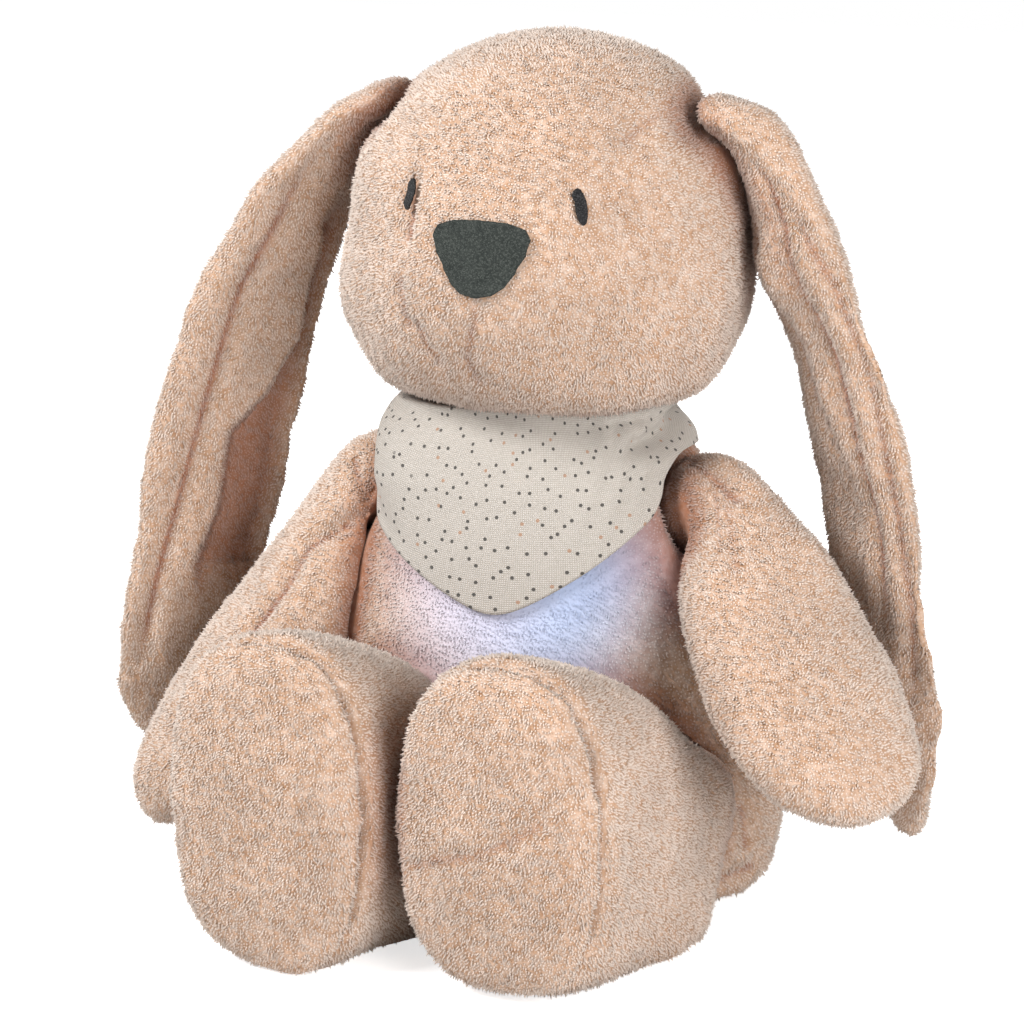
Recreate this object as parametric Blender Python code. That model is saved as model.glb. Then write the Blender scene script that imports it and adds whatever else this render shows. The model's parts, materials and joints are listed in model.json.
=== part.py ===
"""Plush night light: a seated rabbit with long hanging ears and a light unit in a pocket in its back.

Metres, +Z up. The front faces -Y, and the origin lies on the floor under the middle of the toy.
The toy's own left is +X. Soft forms are lofts through stations, whose sizes and places are shares of the
named sizes beside them. The light unit is built along Y, and a press on the belly moves its cap.
"""

from math import asin, ceil, copysign, cos, pi, radians, sin, sqrt, tau

import bmesh
import bpy
from mathutils import Matrix, Vector

for old in list(bpy.data.objects):
    bpy.data.objects.remove(old)

# Clearances that every fit uses, and one overrun for all cuts
seam_gap = 0.0004
seat_gap = 0.0003
running_gap = 0.0006
limb_gap = 0.0014
patch_gap = 0.0006
hip_gap = 0.0007
overrun = 0.0030

# Torso: a pear with a flat seat and a flat top where the neck is sewn
torso_height = 0.1480
torso_half_width = 0.0735
torso_half_depth = 0.0545
torso_shift = 0.0000
# Height, half width, half depth
torso_shares = (
    (-0.02, 0.00, 0.00),
    (0.00, 0.91, 0.90),
    (0.07, 1.00, 0.98),
    (0.20, 1.03, 1.02),
    (0.38, 0.98, 1.00),
    (0.56, 0.91, 0.94),
    (0.72, 0.81, 0.84),
    (0.86, 0.69, 0.72),
    (0.95, 0.54, 0.57),
    (1.00, 0.42, 0.46),
    (1.01, 0.00, 0.00),
)

# Head: a wide ball with full cheeks and a soft muzzle, flat below where the neck is sewn
head_half_width = 0.0612
head_half_depth = 0.0525
head_half_height = 0.0585
head_rise = 0.0538
head_shift = 0.0020
cheek_share = 0.24
cheek_roundness_share = 0.50
muzzle_reach = 0.0100
muzzle_drop = 0.0038
muzzle_half_width = 0.0260
muzzle_half_height = 0.0210
muzzle_softness_share = 0.5

# Nose and eyes: stitched patches that lie on the head
patch_thickness = 0.0010
nose_half_width = 0.0152
nose_lift = 0.0002
nose_rise = 0.0105
nose_fall = 0.0115
nose_brow_roundness_share = 0.75
nose_taper_share = 0.25
eye_side = 0.0262
eye_lift = 0.0132
eye_half_width = 0.0022
eye_half_height = 0.0060
eye_lean = radians(12)

# Ears: long flat lobes sewn at the sides of the head, which hang outside the arms
ear_root_side = 0.0490
ear_root_depth = 0.0020
ear_root_lift = 0.0347
ear_root_radius = 0.0058
ear_length = 0.2180
ear_half_breadth = 0.0250
ear_half_thickness = 0.0054
ear_left_turn = radians(52)
ear_left_twist_share = 0.45
ear_right_turn = radians(43)
ear_right_twist_share = 1.0
ear_left_reach_share = 0.84
ear_right_reach_share = 1.0
# Drop below the root, place outward, half breadth, half thickness, share of the turn
ear_shares = (
    (-0.0245, 0.000, 0.00, 0.00, 0.0),
    (-0.0160, 0.000, 0.58, 0.70, 0.0),
    (0.0000, 0.010, 0.66, 1.00, 0.0),
    (0.0400, 0.065, 0.80, 1.35, 0.25),
    (0.1600, 0.155, 0.95, 1.25, 0.55),
    (0.3300, 0.232, 1.00, 1.20, 0.85),
    (0.5600, 0.290, 1.02, 1.25, 1.0),
    (0.7700, 0.335, 0.98, 1.25, 1.0),
    (0.9000, 0.355, 0.74, 1.15, 1.0),
    (0.9700, 0.362, 0.42, 0.95, 1.0),
    (1.0000, 0.364, 0.00, 0.00, 1.0),
)

# Arms: a ball at the shoulder that widens into a flat paw
shoulder_side = 0.0515
shoulder_depth = -0.0040
shoulder_drop = 0.0280
arm_ball_radius = 0.0165
arm_length = 0.1240
arm_half_breadth = 0.0305
arm_half_thickness = 0.0160
arm_breadth_turn = radians(48)
# Distance from the shoulder, half breadth, half thickness
arm_shares = (
    (-0.133, 0.00, 0.00),
    (0.00, 0.54, 1.03),
    (0.20, 0.70, 1.00),
    (0.42, 0.90, 1.03),
    (0.66, 1.00, 1.06),
    (0.86, 0.86, 0.92),
    (1.00, 0.00, 0.00),
)
arm_left_direction_shares = (0.56, -0.60, -0.50)
arm_right_direction_shares = (-0.46, -0.38, -0.83)

# Legs: a ball at the hip that widens into a tall foot, closed by a sole panel
hip_side = 0.0353
hip_depth = -0.0300
hip_height = 0.0340
leg_ball_radius = 0.0270
leg_length = 0.0800
leg_turn = radians(-7)
leg_drop = radians(6)
# Steps of the leg's turn at which the torso clears it
leg_drop_shares = (0.5, 1.0)
foot_half_width = 0.0325
foot_half_height = 0.0495
foot_squareness_share = 0.80
sole_depth = 0.0080
sole_edge_share = 0.86
sole_gap = 0.0004
# Distance from the hip, half width, half height, rise of the middle
leg_shares = (
    (-0.318, 0.00, 0.00, 0.00),
    (0.00, 0.82, 0.54, 0.00),
    (0.34, 1.06, 0.90, 0.06),
    (0.70, 1.06, 1.00, 0.21),
    (1.00, 1.04, 1.01, 0.33),
)
# The sole's profile: part of its depth, part of its width
sole_shares = ((0.00, 1.00), (0.42, 0.99), (0.77, 0.92), (0.95, 0.72), (1.00, 0.45))

# Bandana: a muslin triangle round the neck, its ends lapped and taped at the back
bandana_thickness = 0.0009
bandana_top_drop = 0.0005
bandana_front_drop = 0.0530
bandana_back_drop = 0.0100
bandana_tip_turn = radians(5)
bandana_tip_roundness = radians(8)
bandana_spread = radians(90)
bandana_lap = radians(11)
bandana_lap_lift = 0.0034
bandana_stand_off = 0.0016
bandana_fold_depth = 0.0013
bandana_folds = 9
bandana_arm_gap = 0.0045
bandana_step = 0.0020
bandana_tape_edge_share = 0.15

# Light unit: a moulded case with rounded corners, built along Y
unit_height = 0.0975
unit_half_width = 0.0330
unit_half_height = 0.0275
unit_corner = 0.0140
unit_back = 0.0150
corner_least = 0.0008
case_wall = 0.0018
case_depth = 0.0240
case_edge = 0.0010
bay_wall = 0.0015
bay_half_width = 0.0258
door_thickness = 0.0018
door_half_width = 0.0270
door_half_height = 0.0180
door_corner = 0.0040
door_tab_height = 0.0200
door_tab_radius = 0.0042
cell_radius = 0.00525
cell_length = 0.0435
cell_nub_radius = 0.0019
cell_nub_length = 0.0011
cell_edge = 0.0005
cell_gap = 0.0004
cell_count = 3
contact_thickness = 0.0004
contact_half_depth = 0.0042
contact_half_height = 0.0150
contact_coil_radius = 0.0030
contact_coil_wire = 0.00028
contact_coil_turns = 4
board_thickness = 0.0016
board_stand = 0.0032
stand_radius = 0.0020
stand_side = 0.0200
stand_height = 0.0120
tray_thickness = 0.0012
tray_rim = 0.0012
tray_hole_radius = 0.0048
led_radius = 0.0025
led_length = 0.0043
led_ring_half_width = 0.0165
led_ring_half_height = 0.0130
led_count = 6
led_dome_shares = (0.0, 0.35, 0.65, 0.88)
switch_half_width = 0.0031
switch_depth = 0.0034
plunger_radius = 0.0017
plunger_hold = 0.0010
bezel_depth = 0.0085
bezel_wall = 0.0016
bezel_lip = 0.0022
bezel_plate_thickness = 0.0023
bezel_plate_width = 0.0064
cap_travel = 0.0015
cap_wall = 0.0018
cap_flange_depth = 0.0016
cap_rise = 0.0130
cap_shoulder = 0.0080
cap_step_count = 6
post_radius = 0.0024
spring_side = 0.0225
spring_radius = 0.0026
spring_wire = 0.00025
spring_turns = 3.5
spring_seat_rim = 0.0006
boss_side = 0.0262
boss_height = 0.0208
boss_radius = 0.0034
screw_shank_radius = 0.0011
screw_head_radius = 0.0021
screw_head_depth = 0.0012
screw_length = 0.0126
screw_slot_half_width = 0.00035
screw_slot_depth = 0.0006
door_screw_length = 0.0050
door_boss_radius = 0.0026

# Pocket, its lining, and the padded flap that closes it and backs the light unit
lining_thickness = 0.0008
pocket_front = -0.0315
flap_overlap = 0.0050
flap_tape_overlap = 0.0085
flap_thickness = 0.0030
flap_stand_off = 0.0022
flap_corner = 0.0160
flap_taper = 0.0085
flap_pad_gap = 0.0025
tape_thickness = 0.0006
tape_half_width = 0.0150
tape_edge = 0.0015
tape_corner = 0.0012

# Heights of what is sewn to the top of the torso
head_centre_height = torso_height + head_rise
bandana_top = torso_height - bandana_top_drop

ring_points = 20
case_corner_points = 5
round_points = 16
sharp_edge = radians(40)
coil_points = 9


def material(name, colour, roughness, metallic=0.0, alpha=1.0):
    made = bpy.data.materials.new(name)
    made.use_nodes = True
    shader = made.node_tree.nodes["Principled BSDF"]
    shader.inputs["Base Color"].default_value = (*colour, 1.0)
    shader.inputs["Roughness"].default_value = roughness
    shader.inputs["Metallic"].default_value = metallic
    shader.inputs["Alpha"].default_value = alpha
    made.diffuse_color = (*colour, alpha)
    return made


def smooth_between(before, start, end, after, t):
    """Catmull-Rom, the smooth curve through four values."""
    return 0.5 * (
        2 * start
        + (end - before) * t
        + (2 * before - 5 * start + 4 * end - after) * t * t
        + (3 * start - before - 3 * end + after) * t * t * t
    )


def read_stations(stations, place):
    last = len(stations) - 1
    k = min(int(place), last - 1)
    four = [stations[min(max(k + step, 0), last)] for step in (-1, 0, 1, 2)]
    return [smooth_between(*values, place - k) for values in zip(*four)]


def spread(count, stations):
    """Places along the stations, closer together towards both ends."""
    last = len(stations) - 1
    return [last * (1 - cos(pi * k / count)) / 2 for k in range(count + 1)]


def root_of(square):
    """Sizes are read as squares, which rounds the ends of a form."""
    return sqrt(max(square, 0))


def ellipse(centre, across, through, roundness=1.0, count=ring_points):
    """A ring of points; a roundness under 1 squares its corners a little."""
    ring = []
    for i in range(count):
        angle = tau * i / count
        side = copysign(abs(cos(angle)) ** roundness, cos(angle))
        rise = copysign(abs(sin(angle)) ** roundness, sin(angle))
        ring.append(centre + across * side + through * rise)
    return ring


def middle(ring):
    return sum(ring, Vector()) / len(ring)


def link(name, mesh, paint=None, origin=None):
    if paint:
        mesh.materials.append(paint)
    made = bpy.data.objects.new(name, mesh)
    if origin:
        mesh.transform(Matrix.Translation(-origin))
        made.location = origin
    bpy.context.scene.collection.objects.link(made)
    return made


def finish_mesh(name, shape, sharp=None):
    bmesh.ops.recalc_face_normals(shape, faces=shape.faces)
    mesh = bpy.data.meshes.new(name)
    shape.to_mesh(mesh)
    shape.free()
    mesh.shade_smooth()
    if sharp:
        mesh.set_sharp_from_angle(angle=sharp)
    return mesh


def skin(shape, rings, pointed):
    """A closed skin through rings of equal count. Pointed ends close in a point, others in a flat face."""
    rows = [[shape.verts.new(point) for point in ring] for ring in rings]
    count = len(rows[0])
    for lower, upper in zip(rows, rows[1:]):
        for i in range(count):
            j = (i + 1) % count
            shape.faces.new((lower[i], lower[j], upper[j], upper[i]))
    for ring, row in ((rings[0], rows[0][::-1]), (rings[-1], rows[-1])):
        if not pointed:
            shape.faces.new(row)
            continue
        tip = shape.verts.new(middle(ring))
        for i in range(count):
            shape.faces.new((tip, row[i], row[(i + 1) % count]))


def lofts(name, forms, paint=None, pointed=False, origin=None):
    shape = bmesh.new()
    for rings in forms:
        skin(shape, rings, pointed)
    return link(name, finish_mesh(name, shape, None if pointed else sharp_edge), paint, origin)


def form(name, rings, paint=None, origin=None):
    """One soft form, closed to a point at each end."""
    return lofts(name, [rings], paint, True, origin)


def solid(name, rings, paint=None, origin=None):
    """One moulded solid with flat ends."""
    return lofts(name, [rings], paint, False, origin)


def helper(made):
    made.hide_render = True
    made.display_type = "WIRE"
    return made


def cut(piece, other, operation="DIFFERENCE"):
    boolean = piece.modifiers.new(other.name, "BOOLEAN")
    boolean.object = other
    boolean.operation = operation
    return piece


plush = material("plush_beige", (0.66, 0.50, 0.37), 0.95)
muslin = material("muslin_cream", (0.80, 0.76, 0.69), 0.90)
stitch_dark = material("stitch_dark", (0.045, 0.050, 0.048), 0.85)
stitch_black = material("stitch_black", (0.012, 0.012, 0.014), 0.60)
tape_cream = material("hook_and_loop_tape", (0.62, 0.52, 0.42), 0.90)
lining_cloth = material("pocket_cloth", (0.70, 0.66, 0.60), 0.90)
case_white = material("case_white", (0.80, 0.80, 0.78), 0.45)
frosted = material("frosted_diffuser", (0.86, 0.90, 0.96), 0.55)
board_green = material("board_green", (0.05, 0.22, 0.10), 0.45)
led_clear = material("led_lens", (0.88, 0.92, 0.98), 0.20)
switch_black = material("switch_black", (0.03, 0.03, 0.03), 0.50)
steel = material("steel", (0.62, 0.62, 0.60), 0.30, 1.0)
cell_jacket = material("cell_jacket", (0.20, 0.22, 0.24), 0.40, 0.3)


def torso_rings(grow=0.0, count=20):
    squares = [(z, w * w, d * d) for z, w, d in torso_shares]
    rings = []
    for place in spread(count, squares)[1:-1]:
        z, w, d = read_stations(squares, place)
        z = min(max(z * torso_height, -grow), torso_height + grow)
        across = Vector((root_of(w) * torso_half_width + grow, 0, 0))
        through = Vector((0, root_of(d) * torso_half_depth + grow, 0))
        rings.append(ellipse(Vector((0, torso_shift, z)), across, through))
    return rings


def torso_spread(z):
    """Half width and half depth of the torso at a height."""
    heights = [row[0] for row in torso_shares]
    share = z / torso_height
    k = max(i for i, height in enumerate(heights[:-1]) if height <= share)
    place = k + (share - heights[k]) / (heights[k + 1] - heights[k])
    squares = [(w * w, d * d) for _, w, d in torso_shares]
    w, d = read_stations(squares, place)
    return root_of(w) * torso_half_width, root_of(d) * torso_half_depth


def head_point(azimuth, latitude, grow=0.0):
    up = sin(latitude)
    around = cos(latitude)
    if up < 0:
        around **= cheek_roundness_share
    side = around * sin(azimuth)
    front = -around * cos(azimuth)
    fuller = 1 + cheek_share * max(0, -up) * around
    x = (head_half_width * fuller + grow) * side
    y = (head_half_depth * fuller + grow) * front + head_shift
    z = (head_half_height + grow) * up + head_centre_height
    if front < 0:
        rise = z - head_centre_height + muzzle_drop
        bump = (x / muzzle_half_width) ** 2 + (rise / muzzle_half_height) ** 2
        y -= muzzle_reach / (1 + muzzle_softness_share * bump * bump)
    return Vector((x, y, max(z, torso_height + seam_gap)))


def head_rings(grow=0.0, count=18):
    rings = []
    for k in range(1, count):
        latitude = pi * k / count - pi / 2
        rings.append([head_point(tau * i / ring_points, latitude, grow) for i in range(ring_points)])
    return rings


def ear_rings(side, reach, turn, twist, count=14):
    squares = [(z, x, b * b, t * t, u) for z, x, b, t, u in ear_shares]
    rings = []
    places = spread(count, squares)
    for place, beyond in zip(places[1:-1], places[2:]):
        z, x, b, t, u = read_stations(squares, place)
        z_beyond, x_beyond = read_stations(squares, beyond)[:2]
        centre = Vector((side * x * reach * ear_length, 0, -z * ear_length))
        along = Vector((side * (x_beyond - x) * reach, 0, z - z_beyond)).normalized()
        angle = turn * max(0, u) ** twist
        breadth = Vector((-side * sin(angle), cos(angle), 0))
        breadth = (breadth - along * breadth.dot(along)).normalized()
        across = breadth * root_of(b) * ear_half_breadth
        through = along.cross(breadth) * root_of(t) * ear_half_thickness
        rings.append(ellipse(ear_roots[side] + centre, across, through))
    return rings


def arm_rings(side, direction, count=12):
    outward = Vector((side * sin(arm_breadth_turn), cos(arm_breadth_turn), 0))
    down = Vector(direction).normalized()
    breadth = (outward - down * outward.dot(down)).normalized()
    normal = down.cross(breadth)
    squares = [(z, b * b, t * t) for z, b, t in arm_shares]
    rings = []
    for place in spread(count, squares)[1:-1]:
        z, b, t = read_stations(squares, place)
        across = breadth * root_of(b) * arm_half_breadth
        through = normal * root_of(t) * arm_half_thickness
        rings.append(ellipse(shoulders[side] + down * z * arm_length, across, through))
    return rings


def leg_ring(side, y, w, h, rise, grow=0.0):
    turn = Matrix.Rotation(leg_turn, 3, "Z")
    centre = Vector((0, -y, rise * foot_half_height))
    across = Vector((w * foot_half_width + grow, 0, 0))
    through = Vector((0, 0, h * foot_half_height + grow))
    ring = [hips[side] + turn @ point for point in ellipse(centre, across, through, foot_squareness_share)]
    for point in ring:
        point.z = max(point.z, -grow)
    return ring


def leg_rings(side, grow=0.0, count=11):
    squares = [(y, w * w, h * h, rise) for y, w, h, rise in leg_shares]
    last = len(squares) - 1
    rings = []
    for k in range(1, count + 1):
        y, w, h, rise = read_stations(squares, last * (1 - cos(pi * k / count / 2)))
        rings.append(leg_ring(side, y * leg_length, root_of(w), root_of(h), rise, grow))
    return rings


def sole_rings(side):
    """The panel that closes the foot: full at its edge, then rounding to a low crown."""
    _, w, h, rise = leg_shares[-1]
    start = leg_length + sole_gap
    return [leg_ring(side, start + out * sole_depth, w * part, h * part, rise) for out, part in sole_shares]


def ball(name, centre, radius):
    """A round cutter for the seat of a joint."""
    shape = bmesh.new()
    bmesh.ops.create_uvsphere(shape, u_segments=ring_points, v_segments=ring_points // 2, radius=radius)
    bmesh.ops.translate(shape, verts=shape.verts, vec=centre)
    return helper(link(name, finish_mesh(name, shape)))


def block(name, low, high, paint=None):
    """A box between two corners."""
    ring = [(low[0], low[2]), (high[0], low[2]), (high[0], high[2]), (low[0], high[2])]
    return solid(name, [[Vector((x, y, z)) for x, z in ring] for y in (low[1], high[1])], paint)


def turned(name, centres, axis, profile, paint=None, origin=None):
    """Round solids about an axis. Each row of the profile is a distance along the axis and a radius."""
    across = axis.orthogonal().normalized()
    through = axis.cross(across)
    forms = []
    for centre in centres:
        forms.append(
            [
                ellipse(centre + axis * along, across * radius, through * radius, count=round_points)
                for along, radius in profile
            ]
        )
    return lofts(name, forms, paint, origin=origin)


def panel_ring(y, half_width, half_height, corner, height=unit_height):
    """A rounded rectangle that faces along Y."""
    corner = min(max(corner, corner_least), half_width, half_height)
    ring = []
    for quarter, (side, rise) in enumerate(((1, 1), (-1, 1), (-1, -1), (1, -1))):
        for i in range(case_corner_points):
            angle = pi / 2 * (quarter + i / (case_corner_points - 1))
            x = side * (half_width - corner) + corner * cos(angle)
            z = rise * (half_height - corner) + corner * sin(angle)
            ring.append(Vector((x, y, height + z)))
    return ring


def unit_ring(y, inset=0.0):
    """The outline of the light unit, drawn in by an inset."""
    return panel_ring(y, unit_half_width - inset, unit_half_height - inset, unit_corner - inset)


def coil(name, start, axis, length, radius, wire, turns, paint, origin=None):
    """A coil spring about an axis, from the middle of its first wire to that of its last."""
    across = axis.orthogonal().normalized()
    through = axis.cross(across)
    count = ceil(turns * coil_points)
    points = []
    for i in range(count + 1):
        angle = tau * turns * i / count
        around = across * cos(angle) * radius + through * sin(angle) * radius
        points.append(start + around + axis * length * i / count)
    apart = [
        (a - b).length - 2 * wire
        for i, a in enumerate(points)
        for b in points[i + coil_points // 2 :]
    ]
    print(name, "least gap to itself", round(min(apart), 5))
    curve = bpy.data.curves.new(name, "CURVE")
    curve.dimensions = "3D"
    curve.bevel_depth = wire
    curve.bevel_resolution = 1
    curve.use_fill_caps = True
    spline = curve.splines.new("POLY")
    spline.points.add(count)
    for spot, point in zip(spline.points, points):
        spot.co = (*(point - (origin or Vector())), 1)
    spline.use_smooth = True
    curve.materials.append(paint)
    made = bpy.data.objects.new(name, curve)
    made.location = origin or Vector()
    bpy.context.scene.collection.objects.link(made)
    return made


def copied(source, name, matrix=None):
    made = source.copy()
    made.name = name
    made.matrix_world = matrix or source.matrix_world
    bpy.context.scene.collection.objects.link(made)
    return helper(made)


# Torso and its seats. A leg turns down, so its cutter is the torso at the steps of that turn
sides = ((1, "left"), (-1, "right"))
torso = form("torso", torso_rings(), plush)
torso_skin = helper(form("cutter_torso_skin", torso_rings(seam_gap)))
hip_plain = helper(form("cutter_hip_plain", torso_rings(hip_gap)))
shoulders = {}
hips = {}
hip_skins = {}
for side, name in sides:
    shoulders[side] = Vector((side * shoulder_side, shoulder_depth, torso_height - shoulder_drop))
    hips[side] = Vector((side * hip_side, hip_depth, hip_height))
    cut(torso, ball(f"cutter_shoulder_seat_{name}", shoulders[side], arm_ball_radius + limb_gap))
    cut(torso, ball(f"cutter_hip_seat_{name}", hips[side], leg_ball_radius + limb_gap))
    cut(torso_skin, ball(f"cutter_shoulder_ball_{name}", shoulders[side], arm_ball_radius))
    hip_skins[side] = copied(hip_plain, f"cutter_hip_skin_{name}")
    for step, share in enumerate(leg_drop_shares):
        swing = Matrix.Rotation(-leg_drop * share, 4, "X")
        swing = Matrix.Translation(hips[side]) @ swing @ Matrix.Translation(-hips[side])
        cut(hip_skins[side], copied(hip_plain, f"cutter_torso_raised_{name}_{step}", swing), "UNION")
    cut(hip_skins[side], ball(f"cutter_hip_ball_{name}", hips[side], leg_ball_radius))

# Head, with a groove for the root of each ear
along_x = Vector((1, 0, 0))
along_y = Vector((0, 1, 0))
neck = Vector((0, torso_shift, torso_height))
head = form("head", head_rings(), plush, neck)
head_skin = helper(form("cutter_head_skin", head_rings(running_gap)))
ear_roots = {}
for side, name in sides:
    ear_roots[side] = Vector((side * ear_root_side, ear_root_depth, head_centre_height + ear_root_lift))
    for piece, radius in ((head, ear_root_radius + running_gap), (head_skin, ear_root_radius)):
        bar = ((-ear_half_breadth, radius), (ear_half_breadth, radius))
        cut(piece, helper(turned(f"cutter_ear_{name}_{piece.name}", [ear_roots[side]], along_y, bar)))

# Ears, arms and legs, each cut to what it lies against
left_rings = ear_rings(1, ear_left_reach_share, ear_left_turn, ear_left_twist_share)
right_rings = ear_rings(-1, ear_right_reach_share, ear_right_turn, ear_right_twist_share)
ear_left = form("ear_left", left_rings, plush, ear_roots[1])
ear_right = form("ear_right", right_rings, plush, ear_roots[-1])
for ear in (ear_left, ear_right):
    cut(ear, head_skin)
arm_left = form("arm_left", arm_rings(1, arm_left_direction_shares), plush, shoulders[1])
arm_right = form("arm_right", arm_rings(-1, arm_right_direction_shares), plush, shoulders[-1])
leg_skins = [helper(form(f"cutter_leg_{name}", leg_rings(side, seam_gap))) for side, name in sides]
for arm, leg_skin in zip((arm_left, arm_right), leg_skins):
    cut(arm, torso_skin)
    cut(arm, leg_skin)
for side, name in sides:
    leg = form(f"leg_{name}", leg_rings(side), plush, hips[side])
    cut(leg, hip_skins[side])
    solid(f"sole_{name}", sole_rings(side), plush, hips[side])

# Nose and eyes: outlines in X and Z, taken from a thin skin over the head
patch_outer = helper(form("cutter_patch_outer", head_rings(patch_gap + patch_thickness)))
patch_inner = helper(form("cutter_patch_inner", head_rings(patch_gap)))


def patch(name, outline, paint):
    front = head_shift - head_half_depth - muzzle_reach - overrun
    rings = [[Vector((x, y, z)) for x, z in outline] for y in (front, head_shift)]
    made = solid(name, rings, paint, neck)
    cut(made, patch_outer, "INTERSECT")
    cut(made, patch_inner)


def nose_outline():
    """Wide and round above, drawn to a soft point below."""
    points = []
    for i in range(round_points):
        x = nose_half_width * cos(tau * i / round_points)
        rise = sin(tau * i / round_points)
        if rise > 0:
            z = nose_rise * rise**nose_brow_roundness_share
        else:
            z = nose_fall * rise
            x *= 1 - nose_taper_share * rise * rise
        points.append((x, head_centre_height + nose_lift + z))
    return points


def eye_outline(side):
    """A narrow upright bow that leans inward at its top."""
    points = []
    for i in range(round_points):
        x = eye_half_width * cos(tau * i / round_points)
        z = eye_half_height * sin(tau * i / round_points)
        points.append((side * eye_side + x - side * z * sin(eye_lean), head_centre_height + eye_lift + z))
    return points


patch("nose_patch", nose_outline(), stitch_dark)
patch("eye_left", eye_outline(1), stitch_black)
patch("eye_right", eye_outline(-1), stitch_black)


# Bandana, and the tapes between its lapped ends
def bandana_place(turn, z, lift):
    """A place on the inner face of the cloth, where the turn runs round the neck from the front."""
    w, d = torso_spread(min(z, torso_height))
    lap = min(1, max(0, (turn - pi + 4 * bandana_lap) / (2 * bandana_lap)))
    away = bandana_stand_off + lift + bandana_lap_lift * lap
    return Vector(((w + away) * sin(turn), torso_shift - (d + away) * cos(turn), z))


def bandana_drop(turn):
    beside = root_of((turn - bandana_tip_turn) ** 2 + bandana_tip_roundness**2) - bandana_tip_roundness
    reach = max(0, 1 - beside / bandana_spread)
    drop = bandana_back_drop + (bandana_front_drop - bandana_back_drop) * reach
    clear = arm_ball_radius + bandana_arm_gap
    steps = ceil(drop / bandana_step)
    for k in range(1, steps + 1):
        z = bandana_top - drop * k / steps
        if min((bandana_place(turn, z, 0) - shoulders[side]).length for side in shoulders) < clear:
            return drop * (k - 1) / steps
    return drop


def cloth(name, start, end, columns, top_share, end_share, rows, lift, thickness, paint):
    """A strip of cloth round the neck, as one closed slab."""
    shape = bmesh.new()
    faces = []
    for out in (lift, lift + thickness):
        grid = []
        for i in range(columns + 1):
            turn = start + (end - start) * i / columns
            drop = bandana_drop(turn)
            column = []
            for k in range(rows + 1):
                share = top_share + (end_share - top_share) * k / rows
                fold = bandana_fold_depth * (1 + cos(bandana_folds * turn)) / 2 * (1 - share)
                column.append(shape.verts.new(bandana_place(turn, bandana_top - share * drop, out + fold)))
            grid.append(column)
        faces.append(grid)
        for left, right in zip(grid, grid[1:]):
            for k in range(rows):
                shape.faces.new((left[k], right[k], right[k + 1], left[k + 1]))
    tops = [[column[0] for column in grid] for grid in faces]
    hems = [[column[-1] for column in grid] for grid in faces]
    starts = [grid[0] for grid in faces]
    ends = [grid[-1] for grid in faces]
    for inner, outer in (tops, hems, starts, ends):
        for i in range(len(inner) - 1):
            shape.faces.new((inner[i], inner[i + 1], outer[i + 1], outer[i]))
    return link(name, finish_mesh(name, shape, sharp_edge), paint)


cloth("bandana", -pi - bandana_lap, pi + bandana_lap, 60, 0, 1, 6, 0, bandana_thickness, muslin)
tape_turns = (-pi - bandana_lap / 2, -pi + bandana_lap / 2)
tape_spot = (*tape_turns, 4, bandana_tape_edge_share, 1 - bandana_tape_edge_share, 1)
hook_lift = bandana_thickness + seat_gap
loop_lift = bandana_lap_lift - seat_gap - tape_thickness
cloth("bandana_hook_tape", *tape_spot, hook_lift, tape_thickness, tape_cream)
cloth("bandana_loop_tape", *tape_spot, loop_lift, tape_thickness, tape_cream)

# Pocket in the back, its lining, and the padded flap
pocket_clear = running_gap + lining_thickness
far_back = torso_half_depth + flap_stand_off + flap_thickness + overrun
pocket_rings = [unit_ring(y, -pocket_clear - seat_gap) for y in (pocket_front - seat_gap, far_back)]
pocket = helper(solid("cutter_pocket", pocket_rings))
cut(torso, pocket)
lining_rings = [unit_ring(y, -pocket_clear) for y in (pocket_front, far_back)]
lining = solid("pocket_lining", lining_rings, lining_cloth)
room_rings = [unit_ring(y, -running_gap) for y in (pocket_front + lining_thickness, far_back + overrun)]
room = helper(solid("cutter_pocket_room", room_rings))
cut(lining, room)
cut(lining, helper(form("cutter_torso_inside", torso_rings(-seam_gap))), "INTERSECT")

flap_top = unit_height + unit_half_height + pocket_clear + flap_overlap
flap_low = unit_height - unit_half_height - pocket_clear - flap_tape_overlap
flap_hinge = Vector((0, torso_shift + torso_spread(flap_top)[1] + flap_stand_off, flap_top))
flap_half_width = unit_half_width + pocket_clear + flap_overlap
flap_middle = (flap_top + flap_low) / 2
flap_half_height = (flap_top - flap_low) / 2
flap = solid(
    "pocket_flap",
    [
        panel_ring(y, flap_half_width, flap_half_height, flap_corner, flap_middle)
        for y in (torso_half_depth / 2, far_back)
    ],
    plush,
    flap_hinge,
)
pad_rings = [unit_ring(unit_back + flap_pad_gap, flap_taper), unit_ring(far_back - overrun, seam_gap)]
pad = helper(solid("cutter_flap_pad", pad_rings))


def torso_shell(name, grow):
    return helper(form(name, torso_rings(grow)))


cut(flap, torso_shell("cutter_flap_outer", flap_stand_off + flap_thickness), "INTERSECT")
cut(flap, torso_shell("cutter_flap_inner", flap_stand_off))
cut(pad, torso_shell("cutter_flap_middle", flap_stand_off + flap_thickness / 2), "INTERSECT")
cut(flap, pad, "UNION")

tape_low = flap_low + tape_edge
tape_high = unit_height - unit_half_height - pocket_clear - tape_edge
for name, lift, origin in (
    ("torso_loop_tape", seat_gap, None),
    ("flap_hook_tape", flap_stand_off - seat_gap - tape_thickness, flap_hinge),
):
    tape_rings = [
        panel_ring(y, tape_half_width, (tape_high - tape_low) / 2, tape_corner, (tape_high + tape_low) / 2)
        for y in (torso_half_depth / 2, far_back)
    ]
    tape = solid(name, tape_rings, tape_cream, origin)
    cut(tape, torso_shell(f"cutter_{name}_outer", lift + tape_thickness), "INTERSECT")
    cut(tape, torso_shell(f"cutter_{name}_inner", lift))

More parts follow.
